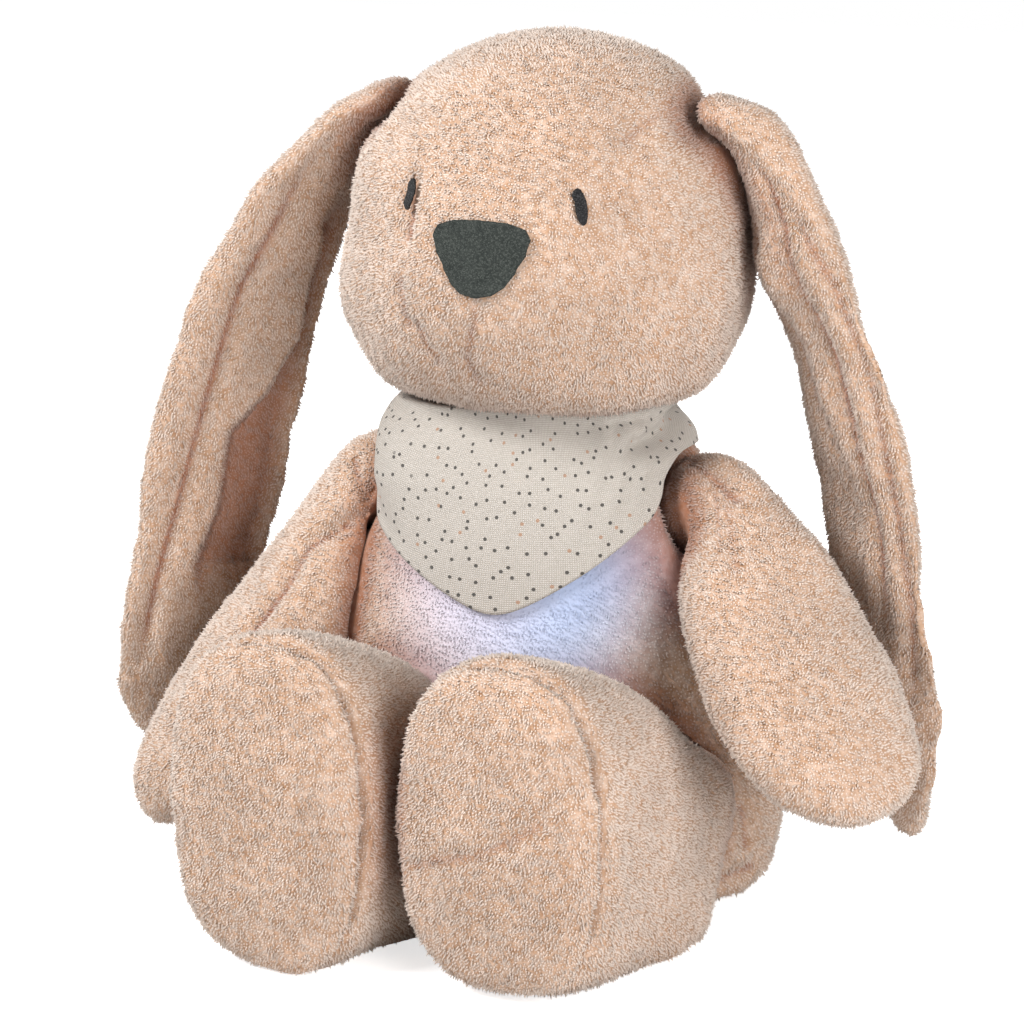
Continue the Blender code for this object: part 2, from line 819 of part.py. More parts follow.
# Places of the light unit along Y, from its back to its front
door_seat = unit_back - door_thickness - seat_gap
cell_depth = door_seat - cell_gap - cell_radius
bay_floor = cell_depth - cell_radius - cell_gap
floor_front = bay_floor - bay_wall
board_back = floor_front - board_stand
board_front = board_back - board_thickness
case_front = unit_back - case_depth
switch_front = board_front - seat_gap - switch_depth
plunger_front = switch_front - cap_travel - seat_gap
bezel_back = case_front - seat_gap
plate_front = bezel_back - bezel_plate_thickness
bezel_front = bezel_back - bezel_depth
flange_front = bezel_front + bezel_wall + seat_gap
flange_back = flange_front + cap_flange_depth
spring_seat = flange_back - seat_gap
unit_middle = Vector((0, 0, unit_height))
quarters = ((1, 1), (-1, 1), (-1, -1), (1, -1))
corners = [unit_middle + Vector((a * boss_side, 0, b * boss_height)) for a, b in quarters]
cell_pitch = 2 * cell_radius + cell_gap
bay_half_height = cell_pitch * cell_count / 2 + cell_gap

# Rear case: a shell round the battery bay, with bosses for the screws and stands for the board
case_rings = [unit_ring(case_front), unit_ring(unit_back - case_edge), unit_ring(unit_back, case_edge)]
case = solid("rear_case", case_rings, case_white)
hollow_rings = [unit_ring(y, case_wall) for y in (case_front - overrun, door_seat - bay_wall)]
hollow = helper(solid("cutter_case_hollow", hollow_rings))
bay_box = helper(
    block(
        "cutter_bay_box",
        (-bay_half_width - bay_wall, floor_front, unit_height - bay_half_height - bay_wall),
        (bay_half_width + bay_wall, unit_back, unit_height + bay_half_height + bay_wall),
    )
)
cut(hollow, bay_box)
cut(case, hollow)
boss_profile = ((case_front + seat_gap, boss_radius), (door_seat - bay_wall / 2, boss_radius))
cut(case, helper(turned("cutter_bosses", corners, along_y, boss_profile)), "UNION")
stands = [unit_middle + Vector((a * stand_side, 0, b * stand_height)) for a in (1, -1) for b in (1, -1)]
stand_profile = ((board_back + seat_gap, stand_radius), (floor_front + bay_wall / 2, stand_radius))
cut(case, helper(turned("cutter_stands", stands, along_y, stand_profile)), "UNION")
tab = unit_middle + Vector((0, 0, door_tab_height))
door_boss_profile = (
    (door_seat - door_screw_length - bay_wall, door_boss_radius),
    (door_seat - bay_wall / 2, door_boss_radius),
)
cut(case, helper(turned("cutter_door_boss", [tab], along_y, door_boss_profile)), "UNION")


def door_ring(y, grow=0.0):
    """The battery door's outline, with the tab that takes its screw."""
    ring = panel_ring(y, door_half_width + grow, door_half_height + grow, door_corner + grow)
    radius = door_tab_radius + grow
    rise = door_half_height + grow - door_tab_height
    start = asin(max(-1, min(1, rise / radius)))
    arc = []
    for i in range(round_points // 2 + 1):
        angle = start + (pi - 2 * start) * i / (round_points // 2)
        arc.append(tab + Vector((radius * cos(angle), y, radius * sin(angle))))
    return ring[:case_corner_points] + arc + ring[case_corner_points:]


recess_rings = [door_ring(y, running_gap) for y in (door_seat, unit_back + overrun)]
cut(case, helper(solid("cutter_door_recess", recess_rings)))
cut(
    case,
    helper(
        block(
            "cutter_bay",
            (-bay_half_width, bay_floor, unit_height - bay_half_height),
            (bay_half_width, unit_back + overrun, unit_height + bay_half_height),
        )
    ),
)
head_seat = plate_front + seat_gap + screw_length
shank_clear = screw_shank_radius + seat_gap
head_clear = screw_head_radius + seat_gap
screw_way = (
    (plate_front - overrun, shank_clear),
    (head_seat - seat_gap, shank_clear),
    (head_seat - seat_gap, head_clear),
    (unit_back + overrun, head_clear),
)
screw_holes = helper(turned("cutter_screw_holes", corners, along_y, screw_way))
cut(case, screw_holes)
door_head_seat = unit_back - screw_head_depth
door_screw_way = (
    (door_head_seat - door_screw_length - seat_gap, shank_clear),
    (door_head_seat - seat_gap, shank_clear),
    (door_head_seat - seat_gap, head_clear),
    (unit_back + overrun, head_clear),
)
door_hole = helper(turned("cutter_door_hole", [tab], along_y, door_screw_way))
cut(case, door_hole)
door = solid("battery_door", [door_ring(unit_back - door_thickness), door_ring(unit_back)], case_white)
cut(door, door_hole)


def screw(name, centre, seat, length):
    made = turned(
        name,
        [centre],
        along_y,
        (
            (seat - length, screw_shank_radius),
            (seat, screw_shank_radius),
            (seat, screw_head_radius),
            (seat + screw_head_depth, screw_head_radius),
        ),
        steel,
    )
    top = seat + screw_head_depth
    slot = block(
        f"cutter_slot_{name}",
        centre + Vector((-screw_slot_half_width, top - screw_slot_depth, -screw_head_radius - overrun)),
        centre + Vector((screw_slot_half_width, top + overrun, screw_head_radius + overrun)),
    )
    cut(made, helper(slot))


for number, centre in enumerate(corners, 1):
    screw(f"case_screw_{number}", centre, head_seat, screw_length)
screw("door_screw", tab, door_head_seat, door_screw_length)

# Cells, lying along X with their poles turned by turns, and their contacts
strip_face = bay_half_width - seat_gap - contact_thickness
for k in range(cell_count):
    way = 1 if k % 2 == 0 else -1
    centre = Vector((0, cell_depth, unit_height + (k - (cell_count - 1) / 2) * cell_pitch))
    tip = way * (strip_face - seat_gap)
    body = tip - way * cell_nub_length
    end = body - way * cell_length
    cell_profile = (
        (end, cell_radius - cell_edge),
        (end + way * cell_edge, cell_radius),
        (body - way * cell_edge, cell_radius),
        (body, cell_radius - cell_edge),
        (body, cell_nub_radius),
        (tip, cell_nub_radius),
    )
    turned(f"cell_{k + 1}", [centre], along_x, cell_profile, cell_jacket)
    room_left = abs(-way * strip_face - end) - 2 * (seat_gap + contact_coil_wire)
    coil_start = centre + along_x * (end - way * (seat_gap + contact_coil_wire))
    coil(
        f"contact_spring_{k + 1}",
        coil_start,
        -along_x * way,
        room_left,
        contact_coil_radius,
        contact_coil_wire,
        contact_coil_turns,
        steel,
    )
for side, name in sides:
    ends = sorted((side * strip_face, side * (strip_face + contact_thickness)))
    block(
        f"contact_strip_{name}",
        (ends[0], cell_depth - contact_half_depth, unit_height - contact_half_height),
        (ends[1], cell_depth + contact_half_depth, unit_height + contact_half_height),
        steel,
    )

# Circuit board, its lights and its switch, under the reflector tray
fit_inside = case_wall + running_gap
clear_profile = ((bezel_back, boss_radius + running_gap), (unit_back, boss_radius + running_gap))
boss_clear = helper(turned("cutter_boss_clear", corners, along_y, clear_profile))
board = solid("circuit_board", [unit_ring(y, fit_inside) for y in (board_front, board_back)], board_green)
cut(board, boss_clear)
tray_rings = [unit_ring(y, fit_inside) for y in (case_front, board_front - seat_gap)]
tray = solid("reflector_tray", tray_rings, case_white)
tray_hollow = helper(
    solid(
        "cutter_tray_hollow",
        [
            unit_ring(case_front + tray_thickness, fit_inside + tray_rim),
            unit_ring(board_front + overrun, fit_inside + tray_rim),
        ],
    )
)
cut(tray, tray_hollow)
cut(tray, boss_clear)
lights = []
for k in range(led_count):
    turn = tau * k / led_count
    place = Vector((led_ring_half_width * cos(turn), 0, led_ring_half_height * sin(turn)))
    lights.append(unit_middle + place)
hole_run = (case_front - overrun, board_front + overrun)
led_holes = [(y, led_radius + running_gap) for y in hole_run]
switch_hole = [(y, tray_hole_radius) for y in hole_run]
cut(tray, helper(turned("cutter_led_holes", lights, along_y, led_holes)))
cut(tray, helper(turned("cutter_switch_hole", [unit_middle], along_y, switch_hole)))
led_foot = board_front - seat_gap
for number, centre in enumerate(lights, 1):
    led_profile = [(led_foot, led_radius)]
    for lean in led_dome_shares:
        drop = led_radius * (1 - sin(pi / 2 * lean))
        led_profile.append((led_foot - led_length + drop, led_radius * cos(pi / 2 * lean)))
    turned(f"led_{number}", [centre], along_y, led_profile, led_clear)
switch = block(
    "press_switch",
    (-switch_half_width, switch_front, unit_height - switch_half_width),
    (switch_half_width, board_front - seat_gap, unit_height + switch_half_width),
    switch_black,
)
plunger_end = switch_front + plunger_hold
plunger_way = (
    (switch_front - overrun, plunger_radius + seat_gap),
    (plunger_end + cap_travel + seat_gap, plunger_radius + seat_gap),
)
cut(switch, helper(turned("cutter_plunger_way", [unit_middle], along_y, plunger_way)))
plunger_origin = Vector((0, plunger_front, unit_height))
turned(
    "switch_plunger",
    [unit_middle],
    along_y,
    ((plunger_front, plunger_radius), (plunger_end, plunger_radius)),
    frosted,
    plunger_origin,
)

# Bezel: a ring whose lip keeps the cap, on a plate that the screws pull against the case
bezel = solid("bezel", [unit_ring(bezel_front), unit_ring(bezel_back)], case_white)
lip_inset = bezel_wall + bezel_lip
bezel_steps = (
    (bezel_front - overrun, lip_inset),
    (bezel_front + bezel_wall, lip_inset),
    (bezel_front + bezel_wall, bezel_wall),
    (plate_front, bezel_wall),
    (plate_front, bezel_plate_width),
    (bezel_back + overrun, bezel_plate_width),
)
cut(bezel, helper(solid("cutter_bezel_room", [unit_ring(y, inset) for y, inset in bezel_steps])))
cut(bezel, screw_holes)


# Diffuser cap: a frosted dome on a flange, with a post for the switch and seats for the springs
def dome_rings(inset, rise):
    rings = []
    for k in range(cap_step_count + 1):
        lean = pi / 2 * k / cap_step_count
        rings.append(unit_ring(flange_front - rise * sin(lean), inset + cap_shoulder * (1 - cos(lean))))
    return rings


flange_inset = bezel_wall + running_gap
dome_inset = lip_inset + running_gap
cap_origin = Vector((0, flange_back, unit_height))
flange_rings = [unit_ring(y, flange_inset) for y in (flange_back, flange_front)]
cap_rings = [*flange_rings, *dome_rings(dome_inset, cap_rise)]
cap = solid("diffuser_cap", cap_rings, frosted, cap_origin)
cap_solid = helper(solid("cutter_cap_solid", cap_rings))
cap_room = helper(
    solid(
        "cutter_cap_room",
        [
            unit_ring(flange_back + overrun, dome_inset + cap_wall),
            *dome_rings(dome_inset + cap_wall, cap_rise - cap_wall),
        ],
    )
)
cut(cap, cap_room)
spring_places = [unit_middle + Vector((side * spring_side, 0, 0)) for side, _ in sides]
seat_radius = spring_radius + spring_wire + spring_seat_rim
seat_profile = ((bezel_front - cap_rise, seat_radius), (spring_seat, seat_radius))
spring_seats = helper(turned("cutter_spring_seats", spring_places, along_y, seat_profile))
cut(spring_seats, cap_solid, "INTERSECT")
cut(cap, spring_seats, "UNION")
post_front = flange_front - cap_rise + cap_wall / 2
post_profile = ((post_front, post_radius), (plunger_front - seat_gap, post_radius))
cut(cap, helper(turned("cutter_post", [unit_middle], along_y, post_profile)), "UNION")
spring_foot = case_front - seat_gap - spring_wire
spring_length = spring_foot - (spring_seat + seat_gap + spring_wire)
for place, (_, name) in zip(spring_places, sides):
    start = place + along_y * spring_foot
    coil(
        f"return_spring_{name}",
        start,
        -along_y,
        spring_length,
        spring_radius,
        spring_wire,
        spring_turns,
        steel,
        start,
    )
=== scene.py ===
# %% [markdown]
# # A plush night light
# The toy is a sitting, long-eared plush figure with a light in its belly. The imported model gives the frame:
# every body and its joints. This script keeps the rigid pieces of the light unit as they are, and puts a
# finished soft piece in place of each plain soft solid: a smooth stuffed form, with its creases, its seams
# and a short pile.
#
# Metres, +Z up, the face looks along -Y.

import json
from math import ceil, copysign, cos, pi, radians, sin, sqrt, tau

import bpy
import numpy as np
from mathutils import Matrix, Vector, noise
from mathutils.bvhtree import BVHTree


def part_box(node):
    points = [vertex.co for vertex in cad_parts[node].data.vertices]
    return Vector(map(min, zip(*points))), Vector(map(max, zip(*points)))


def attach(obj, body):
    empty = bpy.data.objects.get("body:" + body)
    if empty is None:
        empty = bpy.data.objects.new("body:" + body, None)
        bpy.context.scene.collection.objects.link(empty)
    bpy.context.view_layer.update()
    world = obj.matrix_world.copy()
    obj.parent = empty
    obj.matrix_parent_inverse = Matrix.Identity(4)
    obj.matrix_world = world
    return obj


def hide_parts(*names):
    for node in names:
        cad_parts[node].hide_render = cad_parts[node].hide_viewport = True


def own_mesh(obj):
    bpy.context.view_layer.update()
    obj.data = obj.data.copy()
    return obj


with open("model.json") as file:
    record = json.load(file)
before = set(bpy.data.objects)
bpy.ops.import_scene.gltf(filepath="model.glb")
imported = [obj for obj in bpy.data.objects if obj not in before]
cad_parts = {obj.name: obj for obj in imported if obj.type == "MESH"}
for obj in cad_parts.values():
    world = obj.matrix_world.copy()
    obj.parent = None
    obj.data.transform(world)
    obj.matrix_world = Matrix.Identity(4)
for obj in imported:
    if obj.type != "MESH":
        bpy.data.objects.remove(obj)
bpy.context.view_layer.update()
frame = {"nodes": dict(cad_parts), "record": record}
nodes = frame["nodes"]

# %% [markdown]
# ## Materials
# Plush, gauze, thread and moulded plastic all change a little from place to place. Pictures could be laid on
# them, but then each piece would need its own layout. Procedural textures were chosen: they read Object
# coordinates, so they need no layout and stay put on a piece. Only the bandana reads its own UV map, because
# its dots follow the cloth. The helpers below add a node, with its settings and its inputs, in one line each.


def new_group(name, outputs, inputs=(), kind_of_tree="ShaderNodeTree"):
    """An empty node group with its sockets: (name, kind) or (name, kind, default)."""
    group = bpy.data.node_groups.new(name, kind_of_tree)
    for label, kind, *default in inputs:
        made = group.interface.new_socket(label, in_out="INPUT", socket_type=kind)
        if default:
            made.default_value = default[0]
    for label, kind in outputs:
        group.interface.new_socket(label, in_out="OUTPUT", socket_type=kind)
    return group, group.nodes.new("NodeGroupInput"), group.nodes.new("NodeGroupOutput")


def feed(tree, value, socket):
    """Link one socket to another, or give it a plain value."""
    if isinstance(value, bpy.types.NodeSocket):
        tree.links.new(value, socket)
    else:
        socket.default_value = value


def add(tree, kind, settings=None, **inputs):
    """A node with its settings and its inputs, by name or, as i0 and i1, by place."""
    node = tree.nodes.new(kind)
    for key, value in (settings or {}).items():
        setattr(node, key, value)
    for key, value in inputs.items():
        by_place = key[0] == "i" and key[1:].isdigit()
        feed(tree, value, node.inputs[int(key[1:]) if by_place else key.replace("_", " ")])
    return node


def math(tree, operation, first, second=0.5, clamp=False):
    settings = {"operation": operation, "use_clamp": clamp}
    return add(tree, "ShaderNodeMath", settings, i0=first, i1=second).outputs[0]


def vector_math(tree, operation, first, second=None):
    """One operation on vectors. SCALE takes a factor as its second value, and LENGTH gives a number."""
    given = {}
    if second is not None:
        given["Scale" if operation == "SCALE" else "i1"] = second
    node = add(tree, "ShaderNodeVectorMath", {"operation": operation}, i0=first, **given)
    return node.outputs["Value" if operation == "LENGTH" else "Vector"]


def mix_colour(tree, factor, first, second, blend="MIX"):
    settings = {"data_type": "RGBA", "blend_type": blend}
    return add(tree, "ShaderNodeMix", settings, i0=factor, i6=first, i7=second).outputs[2]


def spread_value(tree, value, low, high, to_low=0.0, to_high=1.0):
    """A value spread smoothly from one range onto another."""
    settings = {"clamp": True, "interpolation_type": "SMOOTHSTEP"}
    node = add(tree, "ShaderNodeMapRange", settings, i0=value, i1=low, i2=high, i3=to_low, i4=to_high)
    return node.outputs[0]


def cloud(tree, scale, detail, **more):
    """A soft noise, as a number."""
    return add(tree, "ShaderNodeTexNoise", None, Scale=scale, Detail=detail, **more).outputs[0]


def rgb(hexa):
    """A linear colour from a display colour."""
    values = [int(hexa[i : i + 2], 16) / 255 for i in (0, 2, 4)]
    return (*[v / 12.92 if v <= 0.04045 else ((v + 0.055) / 1.055) ** 2.4 for v in values], 1.0)


def new_material(name):
    """A new material, its tree and its shader."""
    made = bpy.data.materials.new(name)
    made.use_nodes = True
    shader = made.node_tree.nodes["Principled BSDF"]
    return made, made.node_tree, shader


def set_inputs(shader, values):
    """Plain values for a shader's inputs, by name."""
    for label, value in values.items():
        shader.inputs[label].default_value = value


def give_bump(tree, shader, height, strength, distance, **more):
    """A bump from a height, linked to the shader."""
    settings = {"Strength": strength, "Distance": distance, "Height": height, **more}
    tree.links.new(add(tree, "ShaderNodeBump", None, **settings).outputs[0], shader.inputs["Normal"])


print("a pale beige is", [round(v, 3) for v in rgb("f7ede8")[:3]], "in linear light")

# %% [markdown]
# ## Glow mask
# On the toy the light shines out through the belly, brightest in the middle. A lamp inside the form would have
# to shine through skin and pile, which is slow and grainy. A mask marks the lit place instead: a soft
# ellipsoid round the light unit, a little wider than it is high, whose centre and size are named inputs. Its
# second output says how far a place lies to the toy's left, where the light looks cooler. Only the belly's
# plush uses this group.

# %% Glow mask
light_centre = (0.004, -0.046, 0.100)
light_size = 0.041
light_shape = (1.0, 0.75, 1.12)
glow, glow_in, glow_out = new_group(
    "glow mask",
    [("Mask", "NodeSocketFloat"), ("Cool side", "NodeSocketFloat")],
    [("Centre", "NodeSocketVector", light_centre), ("Size", "NodeSocketFloat", light_size)],
)
place = add(glow, "ShaderNodeTexCoord").outputs["Object"]
away = vector_math(glow, "SUBTRACT", place, glow_in.outputs["Centre"])
length = vector_math(glow, "LENGTH", vector_math(glow, "MULTIPLY", away, light_shape))
share = math(glow, "DIVIDE", length, glow_in.outputs["Size"])
glow.links.new(spread_value(glow, share, 0.35, 1.35, 1.0, 0.0), glow_out.inputs["Mask"])
side = add(glow, "ShaderNodeSeparateXYZ", None, i0=away).outputs["X"]
glow.links.new(spread_value(glow, side, -0.040, 0.045), glow_out.inputs["Cool side"])
print("the glow's centre is at", [round(1000 * v) for v in light_centre], "mm")

# %% [markdown]
# ## Plush
# The toy is cut from short-pile plush. Its fibres gather in clumps of two or three millimetres, darker and
# warmer at the roots and pale at the tips; the dark roots are partly the fibres' own tone and partly painted
# shade for the gaps between the tufts. One colour with a bump would look like felt, so each tuft of the pile
# carries its height as an attribute, and the material mixes root, middle and tip colours by it. The cloth under
# the pile takes mostly the root colour. In the folds and where two pieces meet, a painted shade attribute
# darkens the pile to a deep brown.

# %% Plush material
beige_tip = rgb("f7ede8")
beige_middle = rgb("e4d2c5")
# The root colour is partly the fibres' own tone and partly painted shade for the gaps between the tufts.
root_tone_and_painted_shade = rgb("ac8362")
# Painted shade: the deep brown that the pile takes in the folds and where pieces meet.
painted_shade_colour = rgb("85390f")
light_right, light_left = rgb("d9d2df"), rgb("98b6dc")


def soft_normal(tree):
    """A tuft is lit mostly as the skin that it grows on, so the pile shades softly."""
    skin = add(tree, "ShaderNodeAttribute", {"attribute_name": "skin"}).outputs["Vector"]
    settings = {"vector_type": "VECTOR", "convert_from": "OBJECT", "convert_to": "WORLD"}
    turned = add(tree, "ShaderNodeVectorTransform", settings, Vector=skin).outputs[0]
    own = add(tree, "ShaderNodeNewGeometry").outputs["Normal"]
    total = vector_math(tree, "ADD", vector_math(tree, "SCALE", own, 0.15), turned)
    return vector_math(tree, "NORMALIZE", total)


def shine_through(tree, shader, colour, strength):
    """Plush over the light: paler by painted light, and with a faint light of its own."""
    light = add(tree, "ShaderNodeGroup", {"node_tree": glow}).outputs
    lit = mix_colour(tree, light["Cool side"], light_right, light_left)
    shine = math(tree, "MULTIPLY", light["Mask"], strength)
    tree.links.new(mix_colour(tree, shine, (0, 0, 0, 1), lit), shader.inputs["Emission Color"])
    shader.inputs["Emission Strength"].default_value = 1.0
    return mix_colour(tree, light["Mask"], colour, mix_colour(tree, 0.85, colour, lit))


def plush_material(name, glowing=0.0):
    """Root, middle and tip colours along the pile, and painted shade in the folds and where pieces meet."""
    made, tree, shader = new_material(name)
    place = add(tree, "ShaderNodeTexCoord").outputs["Object"]
    clump = cloud(tree, 420.0, 3.0, Vector=place, Roughness=0.6)
    patch = cloud(tree, 55.0, 2.0, Vector=place)
    cells = add(tree, "ShaderNodeTexVoronoi", {"feature": "F1"}, Vector=place, Scale=520.0).outputs[0]
    tuft = add(tree, "ShaderNodeAttribute", {"attribute_name": "tip"}).outputs["Fac"]
    from_tuft = math(tree, "MULTIPLY", tuft, 0.54)
    height = math(tree, "ADD", from_tuft, math(tree, "MULTIPLY", clump, 0.42), clamp=True)
    colour = mix_colour(tree, spread_value(tree, height, 0.05, 0.50), root_tone_and_painted_shade, beige_middle)
    colour = mix_colour(tree, spread_value(tree, height, 0.50, 1.00), colour, beige_tip)
    shade = spread_value(tree, patch, 0.25, 0.75, 0.93, 1.05)
    grey = add(tree, "ShaderNodeCombineColor", None, i0=shade, i1=shade, i2=shade).outputs[0]
    colour = mix_colour(tree, 1.0, colour, grey, "MULTIPLY")
    # Painted shade: in the folds and near other pieces the pile turns deep brown.
    painted_shade = add(tree, "ShaderNodeAttribute", {"attribute_name": "painted_shade"}).outputs["Fac"]
    colour = mix_colour(tree, painted_shade, colour, painted_shade_colour)
    if glowing:
        colour = shine_through(tree, shader, colour, glowing)
    tree.links.new(colour, shader.inputs["Base Color"])
    tree.links.new(spread_value(tree, cells, 0.0, 0.8, 0.86, 1.0), shader.inputs["Roughness"])
    give_bump(tree, shader, clump, 0.35, 0.0006, Normal=soft_normal(tree))
    set_inputs(shader, {"Sheen Weight": 0.35, "Sheen Roughness": 0.45, "Sheen Tint": rgb("fff0e2")})
    set_inputs(shader, {"Specular IOR Level": 0.15})
    return made


plush_plain = plush_material("plush")
plush_lit = plush_material("plush over the light", glowing=0.15)
print("two plush materials, one of them lit")

# %% [markdown]
# ## Woven cloth
# The bandana is double gauze, printed with small grey and brown dots. The pocket's lining is a plain weave and
# the tapes are napped. Threads could be modelled one by one, at the cost of millions of faces. Two crossed
# sine waves give the same look, bent by a noise so that no thread runs straight. The dots are the middles of
# scattered cells, and each cell's random colour picks its ink.

# %% Cloth material
gauze_pitch, lining_pitch, tape_pitch = 0.0006, 0.0008, 0.0011


def dots(tree, place, colour):
    """Scattered dots of two inks over a colour. A few cells stay empty."""
    settings = {"feature": "F1", "voronoi_dimensions": "2D"}
    spots = add(tree, "ShaderNodeTexVoronoi", settings, Vector=place, Scale=225.0, Randomness=0.85).outputs
    edge = spread_value(tree, spots["Distance"], 0.100, 0.145, 1.0, 0.0)
    pick = add(tree, "ShaderNodeSeparateColor", None, i0=spots["Color"]).outputs
    ink = mix_colour(tree, spread_value(tree, pick[0], 0.84, 0.86), rgb("413f3c"), rgb("a3826c"))
    shown = math(tree, "MULTIPLY", edge, spread_value(tree, pick[1], 0.10, 0.12))
    return mix_colour(tree, math(tree, "MULTIPLY", shown, 0.92), colour, ink)


def cloth_material(name, tint, pitch, dotted=False):
    """A weave of two crossed sets of threads, in two shades."""
    made, tree, shader = new_material(name)
    if dotted:
        place = add(tree, "ShaderNodeUVMap", {"uv_map": "cloth"}).outputs[0]
    else:
        place = add(tree, "ShaderNodeTexCoord").outputs["Object"]
    warp = add(tree, "ShaderNodeTexNoise", None, Vector=place, Scale=90.0, Detail=2.0).outputs["Color"]
    bent = vector_math(tree, "ADD", place, vector_math(tree, "SCALE", warp, 0.0006))
    parts = add(tree, "ShaderNodeSeparateXYZ", None, i0=bent).outputs
    threads = []
    for axis in ("X", "Y"):
        wave = math(tree, "SINE", math(tree, "MULTIPLY", parts[axis], tau / pitch))
        raised = add(tree, "ShaderNodeMath", {"operation": "MULTIPLY_ADD"}, i0=wave, i1=0.5, i2=0.5)
        threads.append(raised.outputs[0])
    weave = math(tree, "MULTIPLY", *threads)
    fleck = cloud(tree, 700.0, 2.0, Vector=place)
    shade = math(tree, "ADD", weave, math(tree, "MULTIPLY", fleck, 0.5))
    colour = mix_colour(tree, spread_value(tree, shade, 0.1, 1.2), *tint)
    if dotted:
        colour = dots(tree, place, colour)
    tree.links.new(colour, shader.inputs["Base Color"])
    give_bump(tree, shader, weave, 0.6, 0.00025)
    tree.links.new(spread_value(tree, fleck, 0.2, 0.8, 0.87, 1.0), shader.inputs["Roughness"])
    set_inputs(shader, {"Sheen Weight": 0.15, "Specular IOR Level": 0.2})
    return made


gauze_tint = (rgb("a59e94"), rgb("cac4bf"))
lining_tint = (rgb("cbbfae"), rgb("e6ddd0"))
tape_tint = (rgb("a9937c"), rgb("cfbba4"))
muslin = cloth_material("muslin", gauze_tint, gauze_pitch, dotted=True)
lining_cloth = cloth_material("pocket cloth", lining_tint, lining_pitch)
tape_cloth = cloth_material("napped tape", tape_tint, tape_pitch)
print("three cloths, the finest with threads every", 1000 * gauze_pitch, "mm")

# %% [markdown]
# ## Thread
# The nose is short dark nap and the eyes are close black stitches with a slight gloss. At this size single
# stitches can't be told apart, so a fine cell pattern gives specks of two shades and the bump to match.

# %% Stitch material
def stitch_material(name, slot, dark, pale, gloss, grain, shine):
    """Close, short thread: fine specks of two shades, and a bump to match."""
    made, tree, shader = new_material(name)
    place = add(tree, "ShaderNodeTexCoord").outputs["Object"]
    cells = add(tree, "ShaderNodeTexVoronoi", {"feature": "F1"}, Vector=place, Scale=grain).outputs
    mottle = cloud(tree, 260.0, 3.0, Vector=place)
    speck = add(tree, "ShaderNodeSeparateColor", None, i0=cells["Color"]).outputs[0]
    middle = spread_value(tree, cells["Distance"], 0.1, 0.7, 1.0, 0.35)
    shade = math(tree, "MULTIPLY", spread_value(tree, speck, 0.25, 1.0), middle)
    shade = math(tree, "ADD", shade, spread_value(tree, mottle, 0.2, 0.8, 0.0, 0.25), clamp=True)
    tree.links.new(mix_colour(tree, shade, dark, pale), shader.inputs["Base Color"])
    give_bump(tree, shader, math(tree, "SUBTRACT", 1.0, cells["Distance"]), 0.7, 0.0003)
    tree.links.new(spread_value(tree, mottle, 0.2, 0.8, gloss, gloss + 0.12), shader.inputs["Roughness"])
    set_inputs(shader, {"Specular IOR Level": shine})
    return made


nose_shades = (rgb("262a28"), rgb("4c504c"))
eye_shades = (rgb("040405"), rgb("0e0e10"))
nose_stitch = stitch_material("nose cloth", "stitch_dark", *nose_shades, 0.85, 2600.0, 0.15)
eye_stitch = stitch_material("eye stitch", "stitch_black", *eye_shades, 0.30, 1800.0, 0.25)
print("nose and eye thread")

# %% [markdown]
# ## Moulded, coated and metal pieces
# The light unit is injection-moulded, with a coated board, jacketed cells and steel springs, strips and
# screws. A plain colour would look like a drawing. One function gives each finish a faint change of shade, a
# fine bump and an uneven gloss, and a short list says what differs.

# %% Moulded, coated and metal materials
def plain_material(name, slot, tint, gloss, metal=0.0, clear=0.0):
    """A faint change of shade, a fine bump and an uneven gloss."""
    made, tree, shader = new_material(name)
    place = add(tree, "ShaderNodeTexCoord").outputs["Object"]
    mottle = cloud(tree, 60.0, 3.0, Vector=place)
    darker = (*[v * 0.86 for v in tint[:3]], 1.0)
    colour = mix_colour(tree, spread_value(tree, mottle, 0.25, 0.75), darker, tint)
    tree.links.new(colour, shader.inputs["Base Color"])
    roughness = spread_value(tree, mottle, 0.2, 0.8, gloss - 0.06, gloss + 0.08)
    tree.links.new(roughness, shader.inputs["Roughness"])
    give_bump(tree, shader, cloud(tree, 900.0, 2.0, Vector=place), 0.25, 0.0001)
    set_inputs(shader, {"Metallic": metal, "Subsurface Weight": clear})
    set_inputs(shader, {"Subsurface Radius": (0.004, 0.004, 0.004)})
    return made


moulded = {"pocket_cloth": lining_cloth, "hook_and_loop_tape": tape_cloth}
for name, slot, colour, gloss, more in (
    ("moulded white", "case_white", "ecebe6", 0.45, {}),
    ("frosted", "frosted_diffuser", "eef2f8", 0.55, {"clear": 0.4}),
    ("solder mask", "board_green", "1d6b3a", 0.40, {}),
    ("lens", "led_lens", "eef4fb", 0.16, {}),
    ("black plastic", "switch_black", "2a2a2a", 0.48, {}),
    ("steel", "steel", "c8c8c4", 0.30, {"metal": 1.0}),
    ("cell jacket", "cell_jacket", "5b6066", 0.38, {"metal": 0.3}),
):
    moulded[slot] = plain_material(name, slot, rgb(colour), gloss, **more)

# %% [markdown]
# ## Stuffed forms
# A soft piece starts as its plain solid. It is rebuilt as an even mesh, relaxed so that the facets of the
# plain solid vanish, and blown up from inside as cloth so that it bulges between its neighbours. Then come the
# folds and the seams, each a line across the surface, and last a pile. Sculpting could give the same forms,
# but steps written down can be read and run again. The helpers read and write a mesh as rows of numbers.

# %% Mesh helpers
def read_values(items, key, width, kind=np.float32):
    """One value of all items of a mesh, a row for each."""
    values = np.empty(len(items) * width, kind)
    items.foreach_get(key, values)
    return values.reshape(-1, width)


def read_points(mesh):
    return read_values(mesh.vertices, "co", 3).astype(float)


def read_normals(mesh):
    return read_values(mesh.vertex_normals, "vector", 3).astype(float)


def read_edges(mesh):
    return read_values(mesh.edges, "vertices", 2, np.int32)


def write_points(mesh, points):
    mesh.vertices.foreach_set("co", points.astype(np.float32).ravel())
    mesh.update()


def shade_smooth(mesh):
    mesh.polygons.foreach_set("use_smooth", np.ones(len(mesh.polygons), bool))


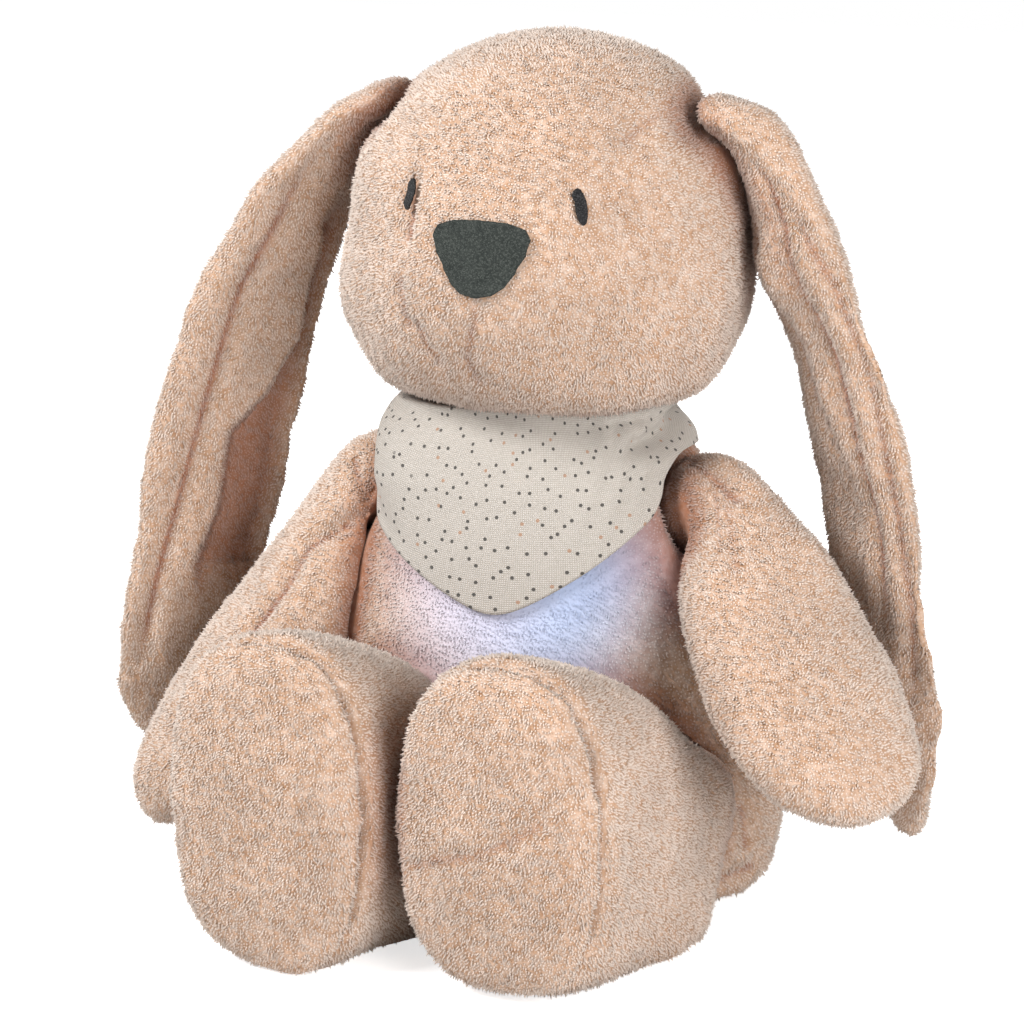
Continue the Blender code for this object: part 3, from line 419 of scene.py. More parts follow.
def evaluated(obj):
    """The mesh that an object's modifiers give."""
    bpy.context.view_layer.update()
    return bpy.data.meshes.new_from_object(obj.evaluated_get(bpy.context.evaluated_depsgraph_get()))


def new_object(name, mesh):
    made = bpy.data.objects.new(name, mesh)
    bpy.context.scene.collection.objects.link(made)
    return made


def with_modifier(mesh, kind, **settings):
    """A mesh after one modifier."""
    worker = new_object("worker", mesh)
    modifier = worker.modifiers.new(kind.lower(), kind)
    for key, value in settings.items():
        setattr(modifier, key, value)
    result = evaluated(worker)
    bpy.data.objects.remove(worker)
    return result


def smooth_step(value, low, high):
    """From 0 at the low end to 1 at the high end, level at both."""
    share = np.clip((value - low) / (high - low), 0, 1)
    return share * share * (3 - 2 * share)


def relax(points, edges, rounds, keep):
    """Smooth and push back by turns, so that small facets go and the size stays. No point moves beyond keep."""
    smoothing, pushing_back = 0.60, -0.61
    start = points.copy()
    count = np.bincount(edges.ravel(), minlength=len(points))[:, None]
    for step in range(2 * rounds):
        total = np.zeros_like(points)
        for here, there in (edges.T, edges.T[::-1]):
            for axis in range(3):
                total[:, axis] += np.bincount(here, points[there, axis], len(points))
        points = points + (smoothing if step % 2 == 0 else pushing_back) * (total / count - points)
    away = points - start
    far = np.linalg.norm(away, axis=1)[:, None]
    return start + away * np.minimum(1, keep / np.maximum(far, 1e-9))


print("the torso's plain solid has", len(nodes["torso"].data.vertices), "points")

# %% [markdown]
# ## Swell a form as cloth
# Stuffing presses a skin outwards, most in the middle of a panel and least at its seams. A cloth simulation
# with pressure inside does the same. It is slow on a fine mesh, so a coarse copy of the form is blown up for
# twelve frames, and each point of the fine form then moves as the nearest face of the copy did.

# %% Swell a form as cloth
coarse_pitch = 0.0052
swelling_frames = 12
skin_settings = {
    "use_pressure": True,
    "uniform_pressure_force": 4.0,
    "mass": 0.25,
    "quality": 5,
    "tension_stiffness": 12,
    "compression_stiffness": 12,
    "bending_stiffness": 0.4,
}


def blow_up(mesh):
    """The points of a mesh after pressure has swollen it as cloth."""
    body = new_object("swelling", mesh)
    cloth = body.modifiers.new("cloth", "CLOTH")
    for key, value in skin_settings.items():
        setattr(cloth.settings, key, value)
    cloth.settings.effector_weights.gravity = 0
    cloth.collision_settings.use_collision = False
    for step in range(1, swelling_frames + 1):
        bpy.context.scene.frame_set(step)
    end = read_points(evaluated(body))
    bpy.data.objects.remove(body)
    bpy.context.scene.frame_set(1)
    return end


def swell(mesh, points, limit):
    """How far pressure moves a coarse copy of the form, read at the given points."""
    coarse = with_modifier(mesh, "REMESH", mode="VOXEL", voxel_size=coarse_pitch)
    write_points(coarse, relax(read_points(coarse), read_edges(coarse), 6, 0.0010))
    start = read_points(coarse)
    away = blow_up(coarse) - start
    away -= away.mean(axis=0)
    far = np.linalg.norm(away, axis=1)[:, None]
    away *= np.minimum(1, limit / np.maximum(far, 1e-9))
    corners = [tuple(p.vertices) for p in coarse.polygons]
    tree = BVHTree.FromPolygons([Vector(p) for p in start], corners)
    moved = np.zeros_like(points)
    for index, point in enumerate(points):
        near = corners[tree.find_nearest(Vector(point))[2]]
        weights = [1 / (1e-6 + float(((start[k] - point) ** 2).sum())) for k in near]
        moved[index] = sum(w * away[k] for w, k in zip(weights, near)) / sum(weights)
    return moved


print("a form swells for", swelling_frames, "frames")

# %% [markdown]
# ## Folds, seams and setbacks
# A seam pulls the skin in along a line, and a fold does the same more softly. A line of places with a depth
# and a width is easier to read and to change than a sculpted groove. Each point of the surface finds its
# distance from the line and moves along its normal by a smooth curve of that distance. A setback lowers the
# surface on one side of the line only, as where the inner part of an ear lies behind its rim. Each also gives
# a painted shade that darkens the pile in the groove or behind the rim.

# %% Folds, seams and setbacks along a line
def along_line(points, line):
    """Distance of each point from a line, its nearest place, the line's way there and the share run so far."""
    best = np.full(len(points), 1e9)
    near = np.zeros_like(points)
    way = np.zeros_like(points)
    run = np.zeros(len(points))
    places = np.array(line) / 1000
    lengths = np.linalg.norm(np.diff(places, axis=0), axis=1)
    done = 0.0
    for start, end, length in zip(places, places[1:], lengths):
        along = (end - start) / length
        share = np.clip((points - start) @ along, 0, length)
        spot = start + share[:, None] * along
        far = np.linalg.norm(points - spot, axis=1)
        closer = far < best
        best[closer] = far[closer]
        near[closer] = spot[closer]
        way[closer] = along
        run[closer] = (done + share[closer]) / lengths.sum()
        done += length
    return best, near, way, run


def fold(points, normals, line, depth, width):
    """A fold with a soft lip on both sides, and a painted shade along its middle. Both fade out at its two ends.
    """
    far, _, _, run = along_line(points, line)
    fade = smooth_step(run, 0.0, 0.12) * smooth_step(-run, -1.0, -0.88)
    shape = -np.exp(-((far / width) ** 2)) + 0.30 * np.exp(-(((far - 2.1 * width) / (1.1 * width)) ** 2))
    dark = np.exp(-((far / (0.36 * width)) ** 2)) * fade
    return points + normals * (depth * shape * fade)[:, None], dark


def set_back(points, normals, line, toward, facing, depth, width, reach):
    """On one side of a line the surface that faces one way lies further back, over a rounded edge. It also gives
    the painted shade over the part set back.
    """
    far, near, way, run = along_line(points, line)
    across = np.array(toward) - way * (way @ np.array(toward))[:, None]
    side = ((points - near) * across / np.linalg.norm(across, axis=1)[:, None]).sum(axis=1)
    ends = smooth_step(run, 0.0, 0.20) * smooth_step(-run, -1.0, -0.85)
    fade = ends * smooth_step(normals @ np.array(facing), 0.0, 0.6)
    within = smooth_step(-far, -reach, -0.7 * reach)
    shape = smooth_step(side, -0.3 * width, width) * within
    dark = np.exp(-(((side - 0.6 * width) / (0.5 * width)) ** 2)) * fade * within
    return points - normals * (depth * shape * fade)[:, None], np.maximum(0.85 * dark, 0.62 * shape * fade)


def uneven(points, scale, seed):
    """Smooth noise from -1 to 1 at each point."""
    offset = Vector((seed * 7.31, seed * 3.17, seed * 5.73))
    return np.array([noise.noise(Vector(p) * scale + offset) for p in points])


print("folds, seams and setbacks ready")

# %% [markdown]
# ## Nose and eyes
# The nose is a patch of dark napped cloth, wide at the top and narrow below. The eyes are short bows of black
# thread, half covered by the cheek's pile. They could be painted on the head, but on the toy they stand up a
# little, so each plain solid gets an even mesh, round edges and its own outline. The outline is a width, or
# the place of one edge, for each height of the patch, as shares of its half height and half width.

# %% Nose and eyes
stitch_pitch = 0.00035
nose_heights = (-1.0, -0.8, -0.6, -0.26, 0.0, 0.3, 0.5, 0.7, 0.9, 1.0)
nose_widths = (1.10, 0.94, 0.84, 0.80, 0.87, 0.98, 1.08, 1.22, 1.45, 1.5)
eye_heights = (-1.0, 0.35, 0.70, 1.0)
eye_edges = (-0.30, -0.45, -0.98, -1.00)
eye_lower_half = {"eye_left": 0.72, "eye_right": 0.50}


def own_axes(points):
    """The middle of a thin patch, and its ways up and across."""
    middle = points.mean(axis=0)
    out = np.linalg.svd(points - middle, full_matrices=False)[2][2]
    out = out * copysign(1, -out[1])
    up = np.array((0.0, 0.0, 1.0)) - out * out[2]
    up /= np.linalg.norm(up)
    return middle, up, np.cross(up, out)


def shaped(name, points):
    """The points of a patch moved to its outline. An eye's lower half is shortened too."""
    middle, up, across = own_axes(points)
    high, wide = (points - middle) @ up, (points - middle) @ across
    share = high / np.abs(high).max()
    if name == "nose_patch":
        moved = wide * np.interp(share, nose_heights, nose_widths)
    else:
        half = np.abs(wide).max()
        edge = np.interp(share, eye_heights, eye_edges) * half
        moved = edge + (wide + half) * (half - edge) / (2 * half)
        points = points + (np.where(high < 0, eye_lower_half[name] - 1, 0.0) * high)[:, None] * up
    return points + (moved - wide)[:, None] * across


def sewn_piece(name, paint):
    """A patch as an even mesh with round edges, in its own outline."""
    mesh = with_modifier(nodes[name].data.copy(), "REMESH", mode="VOXEL", voxel_size=stitch_pitch)
    points = relax(read_points(mesh), read_edges(mesh), 8, 0.0004)
    write_points(mesh, shaped(name, points))
    mesh.materials.clear()
    mesh.materials.append(paint)
    shade_smooth(mesh)
    return new_object(f"{name}_sewn", mesh)


face = {"nose_patch": nose_stitch, "eye_left": eye_stitch, "eye_right": eye_stitch}
corners, faces = [], []
for name, paint in face.items():
    piece = sewn_piece(name, paint)
    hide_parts(name)
    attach(piece, "torso")
    faces += [tuple(len(corners) + k for k in p.vertices) for p in piece.data.polygons]
    corners += [v.co.copy() for v in piece.data.vertices]
sewn = BVHTree.FromPolygons(corners, faces)
print(len(corners), "points on the nose and the eyes")

# %% [markdown]
# ## Pile
# Plush pile is thousands of short fibres. Hair could stand for them, but hair is no mesh, and this model has
# to be one. So a geometry group puts a pointed tuft with three sides on each of many even places. One noise
# leans the tufts with their neighbours and another changes their length, so the pile gathers in clumps. It is
# shorter where something lies on the cloth. Each tuft stores its height and its skin's normal for the material.

# %% Pile group
least_pile = 0.12


def store(group, kind, geometry, name, value):
    """The geometry with a value kept on its points under a name."""
    settings = {"data_type": kind, "domain": "POINT"}
    inputs = {"Geometry": geometry, "Name": name, "Value": value}
    return add(group, "GeometryNodeStoreNamedAttribute", settings, **inputs).outputs[0]


def tuft_lean(group, given):
    """Which way a tuft leans: with its clump, a little by chance and as it is combed."""
    clumps = add(group, "ShaderNodeTexNoise", None, Scale=330.0, Detail=1.0).outputs["Color"]
    centred = vector_math(group, "SUBTRACT", clumps, (0.5, 0.5, 0.5))
    leaning = vector_math(group, "SCALE", centred, given["Lean"])
    limits = {"i0": (-0.25, -0.25, -0.25), "i1": (0.25, 0.25, 0.25)}
    strewn = add(group, "FunctionNodeRandomValue", {"data_type": "FLOAT_VECTOR"}, **limits).outputs[0]
    return vector_math(group, "ADD", vector_math(group, "ADD", leaning, strewn), given["Comb"])


def tuft_shape(group):
    """One pointed tuft with three sides. Its height, from 0 to 1, is stored along it."""
    sizes = {"Vertices": 3, "Radius_Top": 0.0, "Radius_Bottom": 1.0, "Depth": 1.0}
    cone = add(group, "GeometryNodeMeshCone", {"fill_type": "NONE"}, **sizes).outputs["Mesh"]
    position = add(group, "GeometryNodeInputPosition").outputs[0]
    height = add(group, "ShaderNodeSeparateXYZ", None, i0=position).outputs["Z"]
    return store(group, "FLOAT", cone, "tip", height)


def tuft_size(group, given, mask):
    """Width and length of a tuft. The length changes by chance, by clumps and with the mask."""
    varied = add(group, "FunctionNodeRandomValue", {"data_type": "FLOAT"}, i2=0.75, i3=1.2).outputs[1]
    ends = {"i1": 0.35, "i2": 0.65, "i3": 0.50, "i4": 1.45}
    gathered = add(group, "ShaderNodeMapRange", None, i0=cloud(group, 480.0, 1.0), **ends).outputs[0]
    longest = math(group, "MULTIPLY", given["Length"], mask)
    rise = math(group, "MULTIPLY", longest, math(group, "MULTIPLY", varied, gathered))
    return add(group, "ShaderNodeCombineXYZ", None, i0=given["Width"], i1=given["Width"], i2=rise).outputs[0]


def pile_group():
    """The tree that grows the pile, with named inputs for its sizes."""
    group, start, end = new_group(
        "pile",
        [("Geometry", "NodeSocketGeometry")],
        [
            ("Geometry", "NodeSocketGeometry"),
            ("Distance", "NodeSocketFloat", 0.001),
            ("Length", "NodeSocketFloat", 0.0020),
            ("Width", "NodeSocketFloat", 0.0005),
            ("Lean", "NodeSocketFloat", 1.0),
            ("Comb", "NodeSocketVector", (0.0, 0.0, -0.4)),
            ("Seed", "NodeSocketInt", 1),
            ("Material", "NodeSocketMaterial"),
        ],
        "GeometryNodeTree",
    )
    given = start.outputs
    mask = add(group, "GeometryNodeInputNamedAttribute", {"data_type": "FLOAT"}, Name="pile").outputs["Attribute"]
    spread = add(
        group,
        "GeometryNodeDistributePointsOnFaces",
        {"distribute_method": "POISSON"},
        Mesh=given["Geometry"],
        Distance_Min=given["Distance"],
        Density_Max=3.0e6,
        Density_Factor=math(group, "GREATER_THAN", mask, least_pile),
        Seed=given["Seed"],
    ).outputs
    way = vector_math(group, "ADD", spread["Normal"], tuft_lean(group, given))
    placed = add(
        group,
        "GeometryNodeInstanceOnPoints",
        Points=store(group, "FLOAT_VECTOR", spread["Points"], "skin", spread["Normal"]),
        Instance=tuft_shape(group),
        Rotation=add(group, "FunctionNodeAlignRotationToVector", {"axis": "Z"}, Vector=way).outputs[0],
        Scale=tuft_size(group, given, mask),
    ).outputs[0]
    tufts = add(group, "GeometryNodeRealizeInstances", None, Geometry=placed).outputs[0]
    joined = group.nodes.new("GeometryNodeJoinGeometry")
    for part in (tufts, given["Geometry"]):
        group.links.new(part, joined.inputs[0])
    settings = {"Geometry": joined.outputs[0], "Material": given["Material"]}
    group.links.new(add(group, "GeometryNodeSetMaterial", None, **settings).outputs[0], end.inputs[0])
    return group


pile = pile_group()
items = [item for item in pile.interface.items_tree if item.item_type == "SOCKET"]
pile_sockets = {item.name: item.identifier for item in items if item.in_out == "INPUT"}


def grow_pile(name, mesh, mask, **values):
    """The mesh with its pile, as one mesh."""
    attribute = mesh.attributes.new("pile", "FLOAT", "POINT")
    attribute.data.foreach_set("value", mask.astype(np.float32))
    worker = new_object("worker", mesh)
    modifier = worker.modifiers.new("pile", "NODES")
    modifier.node_group = pile
    for key, value in values.items():
        modifier[pile_sockets[key]] = value
    result = evaluated(worker)
    bpy.data.objects.remove(worker)
    result.name = name
    return result


print("inputs of the pile:", ", ".join(pile_sockets))

# %% [markdown]
# ## Where the folds and seams run
# The photo shows where the plush is sewn or pressed into a line. Each line is a list of places in millimetres
# on the surface, given along it. After it come its depth and its width, in millimetres too, and how dark
# its painted shade is, from 0 to 1.

# %% Lines
# The last number of each line is painted shade: how much darker the pile is drawn along it.
folds = {
    "head": [
        ([(-2, -62, 192), (-1, -61, 184), (-4, -58, 175), (-6, -55, 170), (-3, -48, 158)], 0.9, 2.6, 0.45),
        ([(-27, -44, 224), (-26, -47, 216), (-25, -50, 210), (-26, -51, 202)], 1.6, 3.4, 0.75),
        ([(-29, -51, 194), (-27, -52, 186), (-25, -52, 176)], 1.1, 3.6, 0.4),
        ([(-22, -54, 182), (-19, -52, 171), (-15, -51, 165)], 1.1, 3.6, 0.4),
        ([(44, 13, 240), (42, -14, 240), (37, -26, 236), (32, -34, 230)], 0.6, 3.8, 0.25),
        # Painted shade only, with no groove: a broad dark band down the side of the head below the ear.
        ([(58, 4, 218), (58, 2, 200), (57, -2, 185), (55, -6, 174), (47, -14, 160)], 0.0, 10.0, 0.42),
    ],
    "ear_right": [
        (
            [
                (-50, -10, 234), (-66, -14, 221), (-77, -12, 208), (-85, -12, 196), (-95, -12, 178),
                (-102, -10, 161), (-108, -11, 142), (-114, -11, 123), (-118, -12, 108), (-126, -13, 82),
                (-131, -13, 63), (-133, -12, 44),
            ],
            1.9, 3.2, 0.7,
        ),
    ],
    "ear_left": [
        # Painted shade only, with no groove: a broad dark band down the middle of the ear.
        ([(62, -8, 230), (72, -10, 208), (80, -10, 188), (88, -10, 165), (96, -10, 143)], 0.0, 8.0, 0.30),
        (
            [
                (60, -14, 232), (71, -14, 219), (78, -11, 205), (84, -8, 187), (90, -7, 170),
                (97, -8, 149), (101, -8, 130), (106, -9, 110), (110, -8, 87),
            ],
            1.9, 3.4, 0.7,
        ),
        (
            [
                (67, -16, 232), (76, -16, 217), (92, -15, 192), (103, -14, 163), (112, -13, 123),
                (117, -13, 97), (118, -11, 60),
            ],
            1.2, 3.2, 0.45,
        ),
        ([(68, -4, 209), (74, 4, 182), (82, 3, 159), (91, -2, 143), (95, -3, 125)], 1.4, 3.4, 0.5),
    ],
    "arm_right": [
        (
            [
                (-48, -15, 113), (-57, -29, 109), (-67, -31, 103), (-72, -38, 91), (-81, -44, 77),
                (-91, -46, 68), (-98, -49, 58), (-102, -55, 44),
            ],
            1.9, 3.0, 0.8,
        ),
        ([(-58, -15, 129), (-54, -21, 122), (-48, -23, 117)], 1.3, 3.4, 0.5),
    ],
    "arm_left": [
        ([(44, -4, 133), (53, -15, 132), (60, -20, 128), (67, -24, 123)], 1.5, 3.0, 0.6),
        ([(58, -18, 130), (66, -32, 119), (73, -44, 110)], 0.8, 3.4, 0.3),
        ([(54, -15, 132), (59, -28, 122), (65, -39, 114)], 0.7, 3.4, 0.3),
    ],
    "sole_left": [
        ([(-4, -113, 36), (7, -116, 41), (21, -117, 45), (34, -119, 52), (46, -120, 60)], 0.5, 3.6, 0.3),
    ],
    "torso": [
        ([(59, -30, 5), (61, -32, 21), (64, -29, 28), (66, -25, 36)], 2.0, 3.8, 0.8),
        ([(59, -30, 7), (65, -22, 10), (71, -10, 10)], 2.0, 3.8, 0.8),
        ([(69, -20, 34), (71, -19, 24), (70, -18, 17)], 1.6, 3.4, 0.6),
        ([(50, -36, 68), (56, -33, 56), (60, -22, 43)], 1.3, 4.4, 0.5),
    ],
}
lobe = [
    (-60, 3, 220), (-69, 5, 208), (-78, -1, 196), (-82, 1, 182), (-88, 4, 158),
    (-96, 1, 142), (-105, -5, 129), (-108, -4, 116), (-111, -3, 102), (-117, -6, 85),
    (-118, -4, 67),
]
print(sum(len(group) for group in folds.values()), "folds")

# %% [markdown]
# ## Fuller and flatter places
# The stuffing is uneven, so each piece is a little fuller or flatter in places than its plain solid. A new
# solid for each bump would be hard to change, so a push moves the surface round a place. It has its place in
# millimetres, its way as an angle in the picture, counted from the right, its reach and how far it goes, in
# millimetres too.

# %% Fuller and flatter places
picture_right = np.array((0.940, 0.342, 0.0))
picture_up = np.array((-0.0885, 0.243, 0.966))
pushes = {
    "head": [
        ((-63, -10, 173), 180, 16, 2.0),
        ((-18, -5, 257), 110, 30, -2.0),
        ((38, 0, 250), 60, 22, 1.6),
        ((64, 0, 180), -10, 16, -3.0),
        ((-6, -60, 211), 200, 10, -0.8),
        ((48, -5, 155), -40, 14, 2.4),
        ((-44, -20, 153), 220, 12, 1.6),
    ],
    "ear_left": [
        ((75, -8, 231), 50, 15, 5.5),
        ((69, -4, 191), 180, 15, 8.5),
        ((104, -8, 173), 20, 18, -4.0),
        ((125, -8, 94), 0, 26, -5.0),
        ((129, -8, 47), 0, 22, -4.0),
        ((122, -8, 31), -60, 18, -3.5),
        ((61, -8, 244), 90, 14, 2.8),
        ((81, -4, 155), 180, 13, 1.5),
        ((89, -4, 121), 180, 14, -4.5),
    ],
    "ear_right": [
        ((-71, -5, 231), 120, 20, -1.0),
        ((-115, -5, 185), 160, 18, 3.2),
        ((-131, -5, 139), 170, 18, 3.2),
        ((-71, 0, 185), 0, 15, 10.0),
        ((-76, 0, 160), 0, 15, 11.0),
        ((-80, 0, 136), 0, 15, 11.0),
        ((-88, 0, 108), 0, 14, 10.5),
        ((-141, -8, 42), 180, 14, 3.2),
    ],
    "arm_right": [
        ((-115, -50, 28), 190, 15, 5.0),
        ((-110, -50, 14), 250, 10, 6.0),
        ((-71, -10, 122), 120, 14, -0.5),
    ],
    "arm_left": [
        ((109, -45, 42), -80, 20, -2.5),
        ((129, -40, 62), 10, 18, -4.5),
        ((60, -15, 139), 60, 12, 2.5),
        ((76, -20, 134), 50, 18, 6.0),
        ((93, -30, 119), 45, 16, 8.5),
        ((104, -45, 41), -90, 18, -8.5),
        ((49, -30, 127), 180, 15, -4.5),
        ((52, -30, 113), 180, 14, -3.0),
    ],
    "sole_right": [
        ((-35, -112, 3), -90, 20, 4.0),
        ((-73, -105, 10), 200, 14, 1.0),
    ],
    "leg_right": [
        ((-20, -60, -10), 0, 14, 3.0),
        ((-38, -105, 0), -90, 20, 4.0),
        ((-24, -75, -6), -30, 14, 9.5),
        ((-22, -60, -5), 0, 12, 3.0),
        ((-80, -90, 3), 200, 14, 2.0),
    ],
    "sole_left": [
        ((58, -105, 7), -70, 16, 4.0),
    ],
    "leg_left": [
        ((62, -28, 22), 0, 16, 5.0),
        ((60, -32, 42), 8, 16, 7.0),
        ((65, -40, -4), 0, 18, 4.0),
        ((55, -95, 2), -70, 16, 4.0),
        ((64, -70, 0), -30, 15, 9.0),
        ((63, -45, -2), -20, 16, 12.0),
    ],
}


def pushed(points, normals, name):
    """Points that face the way of a push move along it, most at its place."""
    moved = points.copy()
    for place, angle, reach, amount in pushes.get(name, ()):
        way = cos(radians(angle)) * picture_right + sin(radians(angle)) * picture_up
        away = np.linalg.norm(points - np.array(place) / 1000, axis=1) * 1000 / reach
        facing = smooth_step(normals @ way, -0.2, 0.6)
        moved += way * (amount / 1000 * np.exp(-(away**2)) * facing)[:, None]
    return moved


print(sum(len(group) for group in pushes.values()), "pushes")

# %% [markdown]
# ## The soft pieces and their neighbours
# The head, the torso, the ears and the limbs are each sewn from a few panels and filled. Where one lies on
# another its pile is pressed flat, and light hardly gets in, so its pile is shortened there and darkened by
# painted shade. So each point first learns its distance from the other pieces. The light unit lies inside the
# torso, so its pieces are left out.

# %% Soft pieces and neighbours
soft = {"torso": "torso", "head": "torso"}
for side in ("left", "right"):
    for part in ("ear", "arm", "leg"):
        soft[f"{part}_{side}"] = f"{part}_{side}"
    soft[f"sole_{side}"] = f"leg_{side}"
soft["pocket_flap"] = "pocket_flap"

light_unit = ("case", "cell", "contact", "led", "circuit", "tray", "switch", "bezel", "diffuser", "return")
hidden = (*light_unit, "screw", "door", "plunger")
seam_reach = 0.003


def world_tree(names):
    """The plain solids of some pieces, as one tree to measure from."""
    points, faces = [], []
    for name in names:
        mesh = nodes[name].data
        first = len(points)
        points += [v.co.copy() for v in mesh.vertices]
        faces += [tuple(first + k for k in p.vertices) for p in mesh.polygons]
    return BVHTree.FromPolygons(points, faces)


def sewn_to(name):
    """The other piece of a foot, which is sewn on all round and is no neighbour to keep clear of."""
    foot, side = name.split("_")[0], name.split("_")[-1]
    return {"leg": f"sole_{side}", "sole": f"leg_{side}"}.get(foot)


def neighbours(name):
    """The other pieces that a soft piece can lie against."""
    left_out = (name, sewn_to(name), *face)
    return [other for other in nodes if other not in left_out and not any(word in other for word in hidden)]


def room_beside(others, points, most=0.016):
    """Distance from each point to the nearest of some pieces."""
    tree = world_tree(others)
    room = np.full(len(points), most)
    for index, point in enumerate(points):
        hit = tree.find_nearest(Vector(point), most)
        if hit[0] is not None:
            room[index] = hit[3]
    return room


print(len(soft), "soft pieces")

# %% [markdown]
# ## Round feet and chin
# The plain solid of a foot ends in a sharp edge round its sole, and the cheeks run straight down. Real panels
# draw in at the seam. A short rule for each was chosen over more pushes, as it holds for both feet.

# %% Round feet and chin
foot_turn = radians(-7)
hip_place = (0.0353, -0.030, 0.034)
foot_rise = (0.0, 0.0, 0.0163)
sole_half_width, sole_half_height = 0.037, 0.052
sole_swelling = 0.0030
left_cheek_in, right_cheek_in, chin_up = 0.0034, 0.0014, 0.0018


def round_foot(points, side):
    """The foot's front draws in and its sole swells, so that the panel turns softly into the side."""
    ahead = np.array((sin(foot_turn), -cos(foot_turn), 0.0))
    hip = np.array((side * hip_place[0], *hip_place[1:]))
    along = (points - hip) @ ahead
    lifted = np.array(foot_rise) * smooth_step(along, 0.0, 0.060)[:, None]
    middle = hip + along[:, None] * ahead + lifted
    share = smooth_step(along, 0.074, 0.096)
    away = points - middle
    away[:, 0] *= 1 - 0.06 * share
    away[:, 2] *= 1 - 0.05 * share * (away[:, 2] > 0)
    reach = np.sqrt((away[:, 0] / sole_half_width) ** 2 + (away[:, 2] / sole_half_height) ** 2)
    swelling = sole_swelling * smooth_step(along, 0.078, 0.088) * np.clip(1 - reach**2, 0, 1)
    return middle + away + swelling[:, None] * ahead


def round_chin(points):
    """The cheeks draw in below and the chin lies a little higher."""
    low = smooth_step(-points[:, 2], -0.192, -0.158)
    wide = smooth_step(np.abs(points[:, 0]), 0.026, 0.060)
    points = points.copy()
    points[:, 0] -= low * wide * np.where(points[:, 0] > 0, left_cheek_in, -right_cheek_in)
    points[:, 2] += chin_up * smooth_step(-points[:, 2], -0.180, -0.152) + chin_up * low * wide
    return points


print("a foot's middle rises by", 1000 * foot_rise[2], "mm")

# %% [markdown]
# ## Build the stuffed pieces
# All the soft pieces go through the same steps, so that they look cut from one cloth. The even, swollen form
# comes first, then small lumps, the folds and the pushes, and last the pile. The head has no pile under its
# nose and eyes, and nothing has pile on the floor.

# %% Stuffed pieces
coarse_mesh, fine_mesh = 0.0030, 0.0024
most_swelling = 0.0010
pile_length, pile_width, pile_lean = 0.00110, 0.00045, 1.6
usual_spacing, usual_comb = 0.00070, (0.0, 0.0, -0.40)
spacing = {"torso": 0.00090, "head": 0.00068, "pocket_flap": 0.0010}
comb = {
    "head": (0.0, 0.0, -0.35),
    "torso": (0.0, 0.0, -0.35),
    "ear_left": (0.30, 0.0, -0.55),
    "ear_right": (-0.30, 0.0, -0.55),
}
lobe_side, lobe_facing = (0.94, 0.34, 0.0), (0.33, -0.91, 0.26)
lobe_depth, lobe_edge, lobe_reach = 0.0058, 0.0050, 0.030


def even_form(name):
    """The plain solid as an even, relaxed and swollen mesh."""
    plain = nodes[name].data
    pitch = coarse_mesh if name in ("torso", "head") else fine_mesh
    base = with_modifier(plain.copy(), "REMESH", mode="VOXEL", voxel_size=pitch)
    points = relax(read_points(base), read_edges(base), 60, 0.0011)
    if name != "pocket_flap":
        points = points + swell(plain.copy(), points, most_swelling)
    write_points(base, points)
    return with_modifier(base, "SUBSURF", levels=1, render_levels=1)


def creased_with_painted_shade(points, normals, name, room):
    """The points with their folds, and the painted shade that darkens the pile in them and near the neighbours.
    """
    # Painted shade: the closer another piece lies, the darker the pile.
    strongest_painted_shade = 0.38 if name.startswith("leg") else 0.62
    painted_shade = strongest_painted_shade * (1 - smooth_step(room, 0.0005, 0.0125))
    for line, depth, width, shade in folds.get(name, ()):
        points, dark = fold(points, normals, line, depth / 1000, width / 1000)
        painted_shade = np.maximum(painted_shade, shade * dark)
    if name == "ear_right":
        sizes = (lobe_depth, lobe_edge, lobe_reach)
        points, dark = set_back(points, normals, lobe, lobe_side, lobe_facing, *sizes)
        painted_shade = np.maximum(painted_shade, dark)
    return points, painted_shade


def pile_mask(name, points, normals, room, seam):
    """How high the pile stands: none under a neighbour, under the nose and eyes or on the floor."""
    mask = smooth_step(room, 0.0004, 0.0024) * smooth_step(seam, 0.0001, 0.0012)
    if name == "head":
        rays = zip((points - 0.001 * normals).tolist(), normals.tolist())
        hits = [sewn.ray_cast(Vector(spot), Vector(way), 0.005)[0] for spot, way in rays]
        mask *= np.array([0.0 if hit else 1.0 for hit in hits])
    return mask * np.where((points[:, 2] < 0.0012), 0.0, 1.0)


def stuffed(name):
    """A soft piece with its form, its creases and its pile."""
    fine = even_form(name)
    points, normals = read_points(fine), read_normals(fine)
    mate = sewn_to(name)
    room = room_beside(neighbours(name), points)
    seam = room_beside([mate], points, seam_reach) if mate else np.full(len(points), seam_reach)
    open_share = smooth_step(np.minimum(room, seam), 0.0006, 0.0022)
    lumps = uneven(points, 45, 1) * 0.0007 + uneven(points, 120, 2) * 0.0003 - 0.0006
    points = points + normals * (lumps * open_share)[:, None]
    points, painted_shade = creased_with_painted_shade(points, normals, name, room)
    points = pushed(points, normals, name)
    if name.startswith(("leg", "sole")):
        points = round_foot(points, 1 if name.endswith("left") else -1)
    if name == "head":
        points = round_chin(points)
    # The painted shade is kept on the skin, and the pile takes it over for the material.
    tint = (0.9 * painted_shade).astype(np.float32)
    fine.attributes.new("painted_shade", "FLOAT", "POINT").data.foreach_set("value", tint)
    points[:, 2] = np.maximum(points[:, 2], 0.0)
    write_points(fine, points)
    mask = pile_mask(name, points, normals, room, seam)
    mesh = grow_pile(
        name,
        fine,
        mask,
        Distance=spacing.get(name, usual_spacing),
        Length=pile_length,
        Width=pile_width,
        Lean=pile_lean,
        Comb=comb.get(name, usual_comb),
        Seed=len(name),
        Material=plush_lit if name == "torso" else plush_plain,
    )
    shade_smooth(mesh)
    covered = int((mask > least_pile).mean() * 100)
    print(name, len(mesh.polygons), "faces,", covered, "% with pile")
    return new_object(f"{name}_plush", mesh)


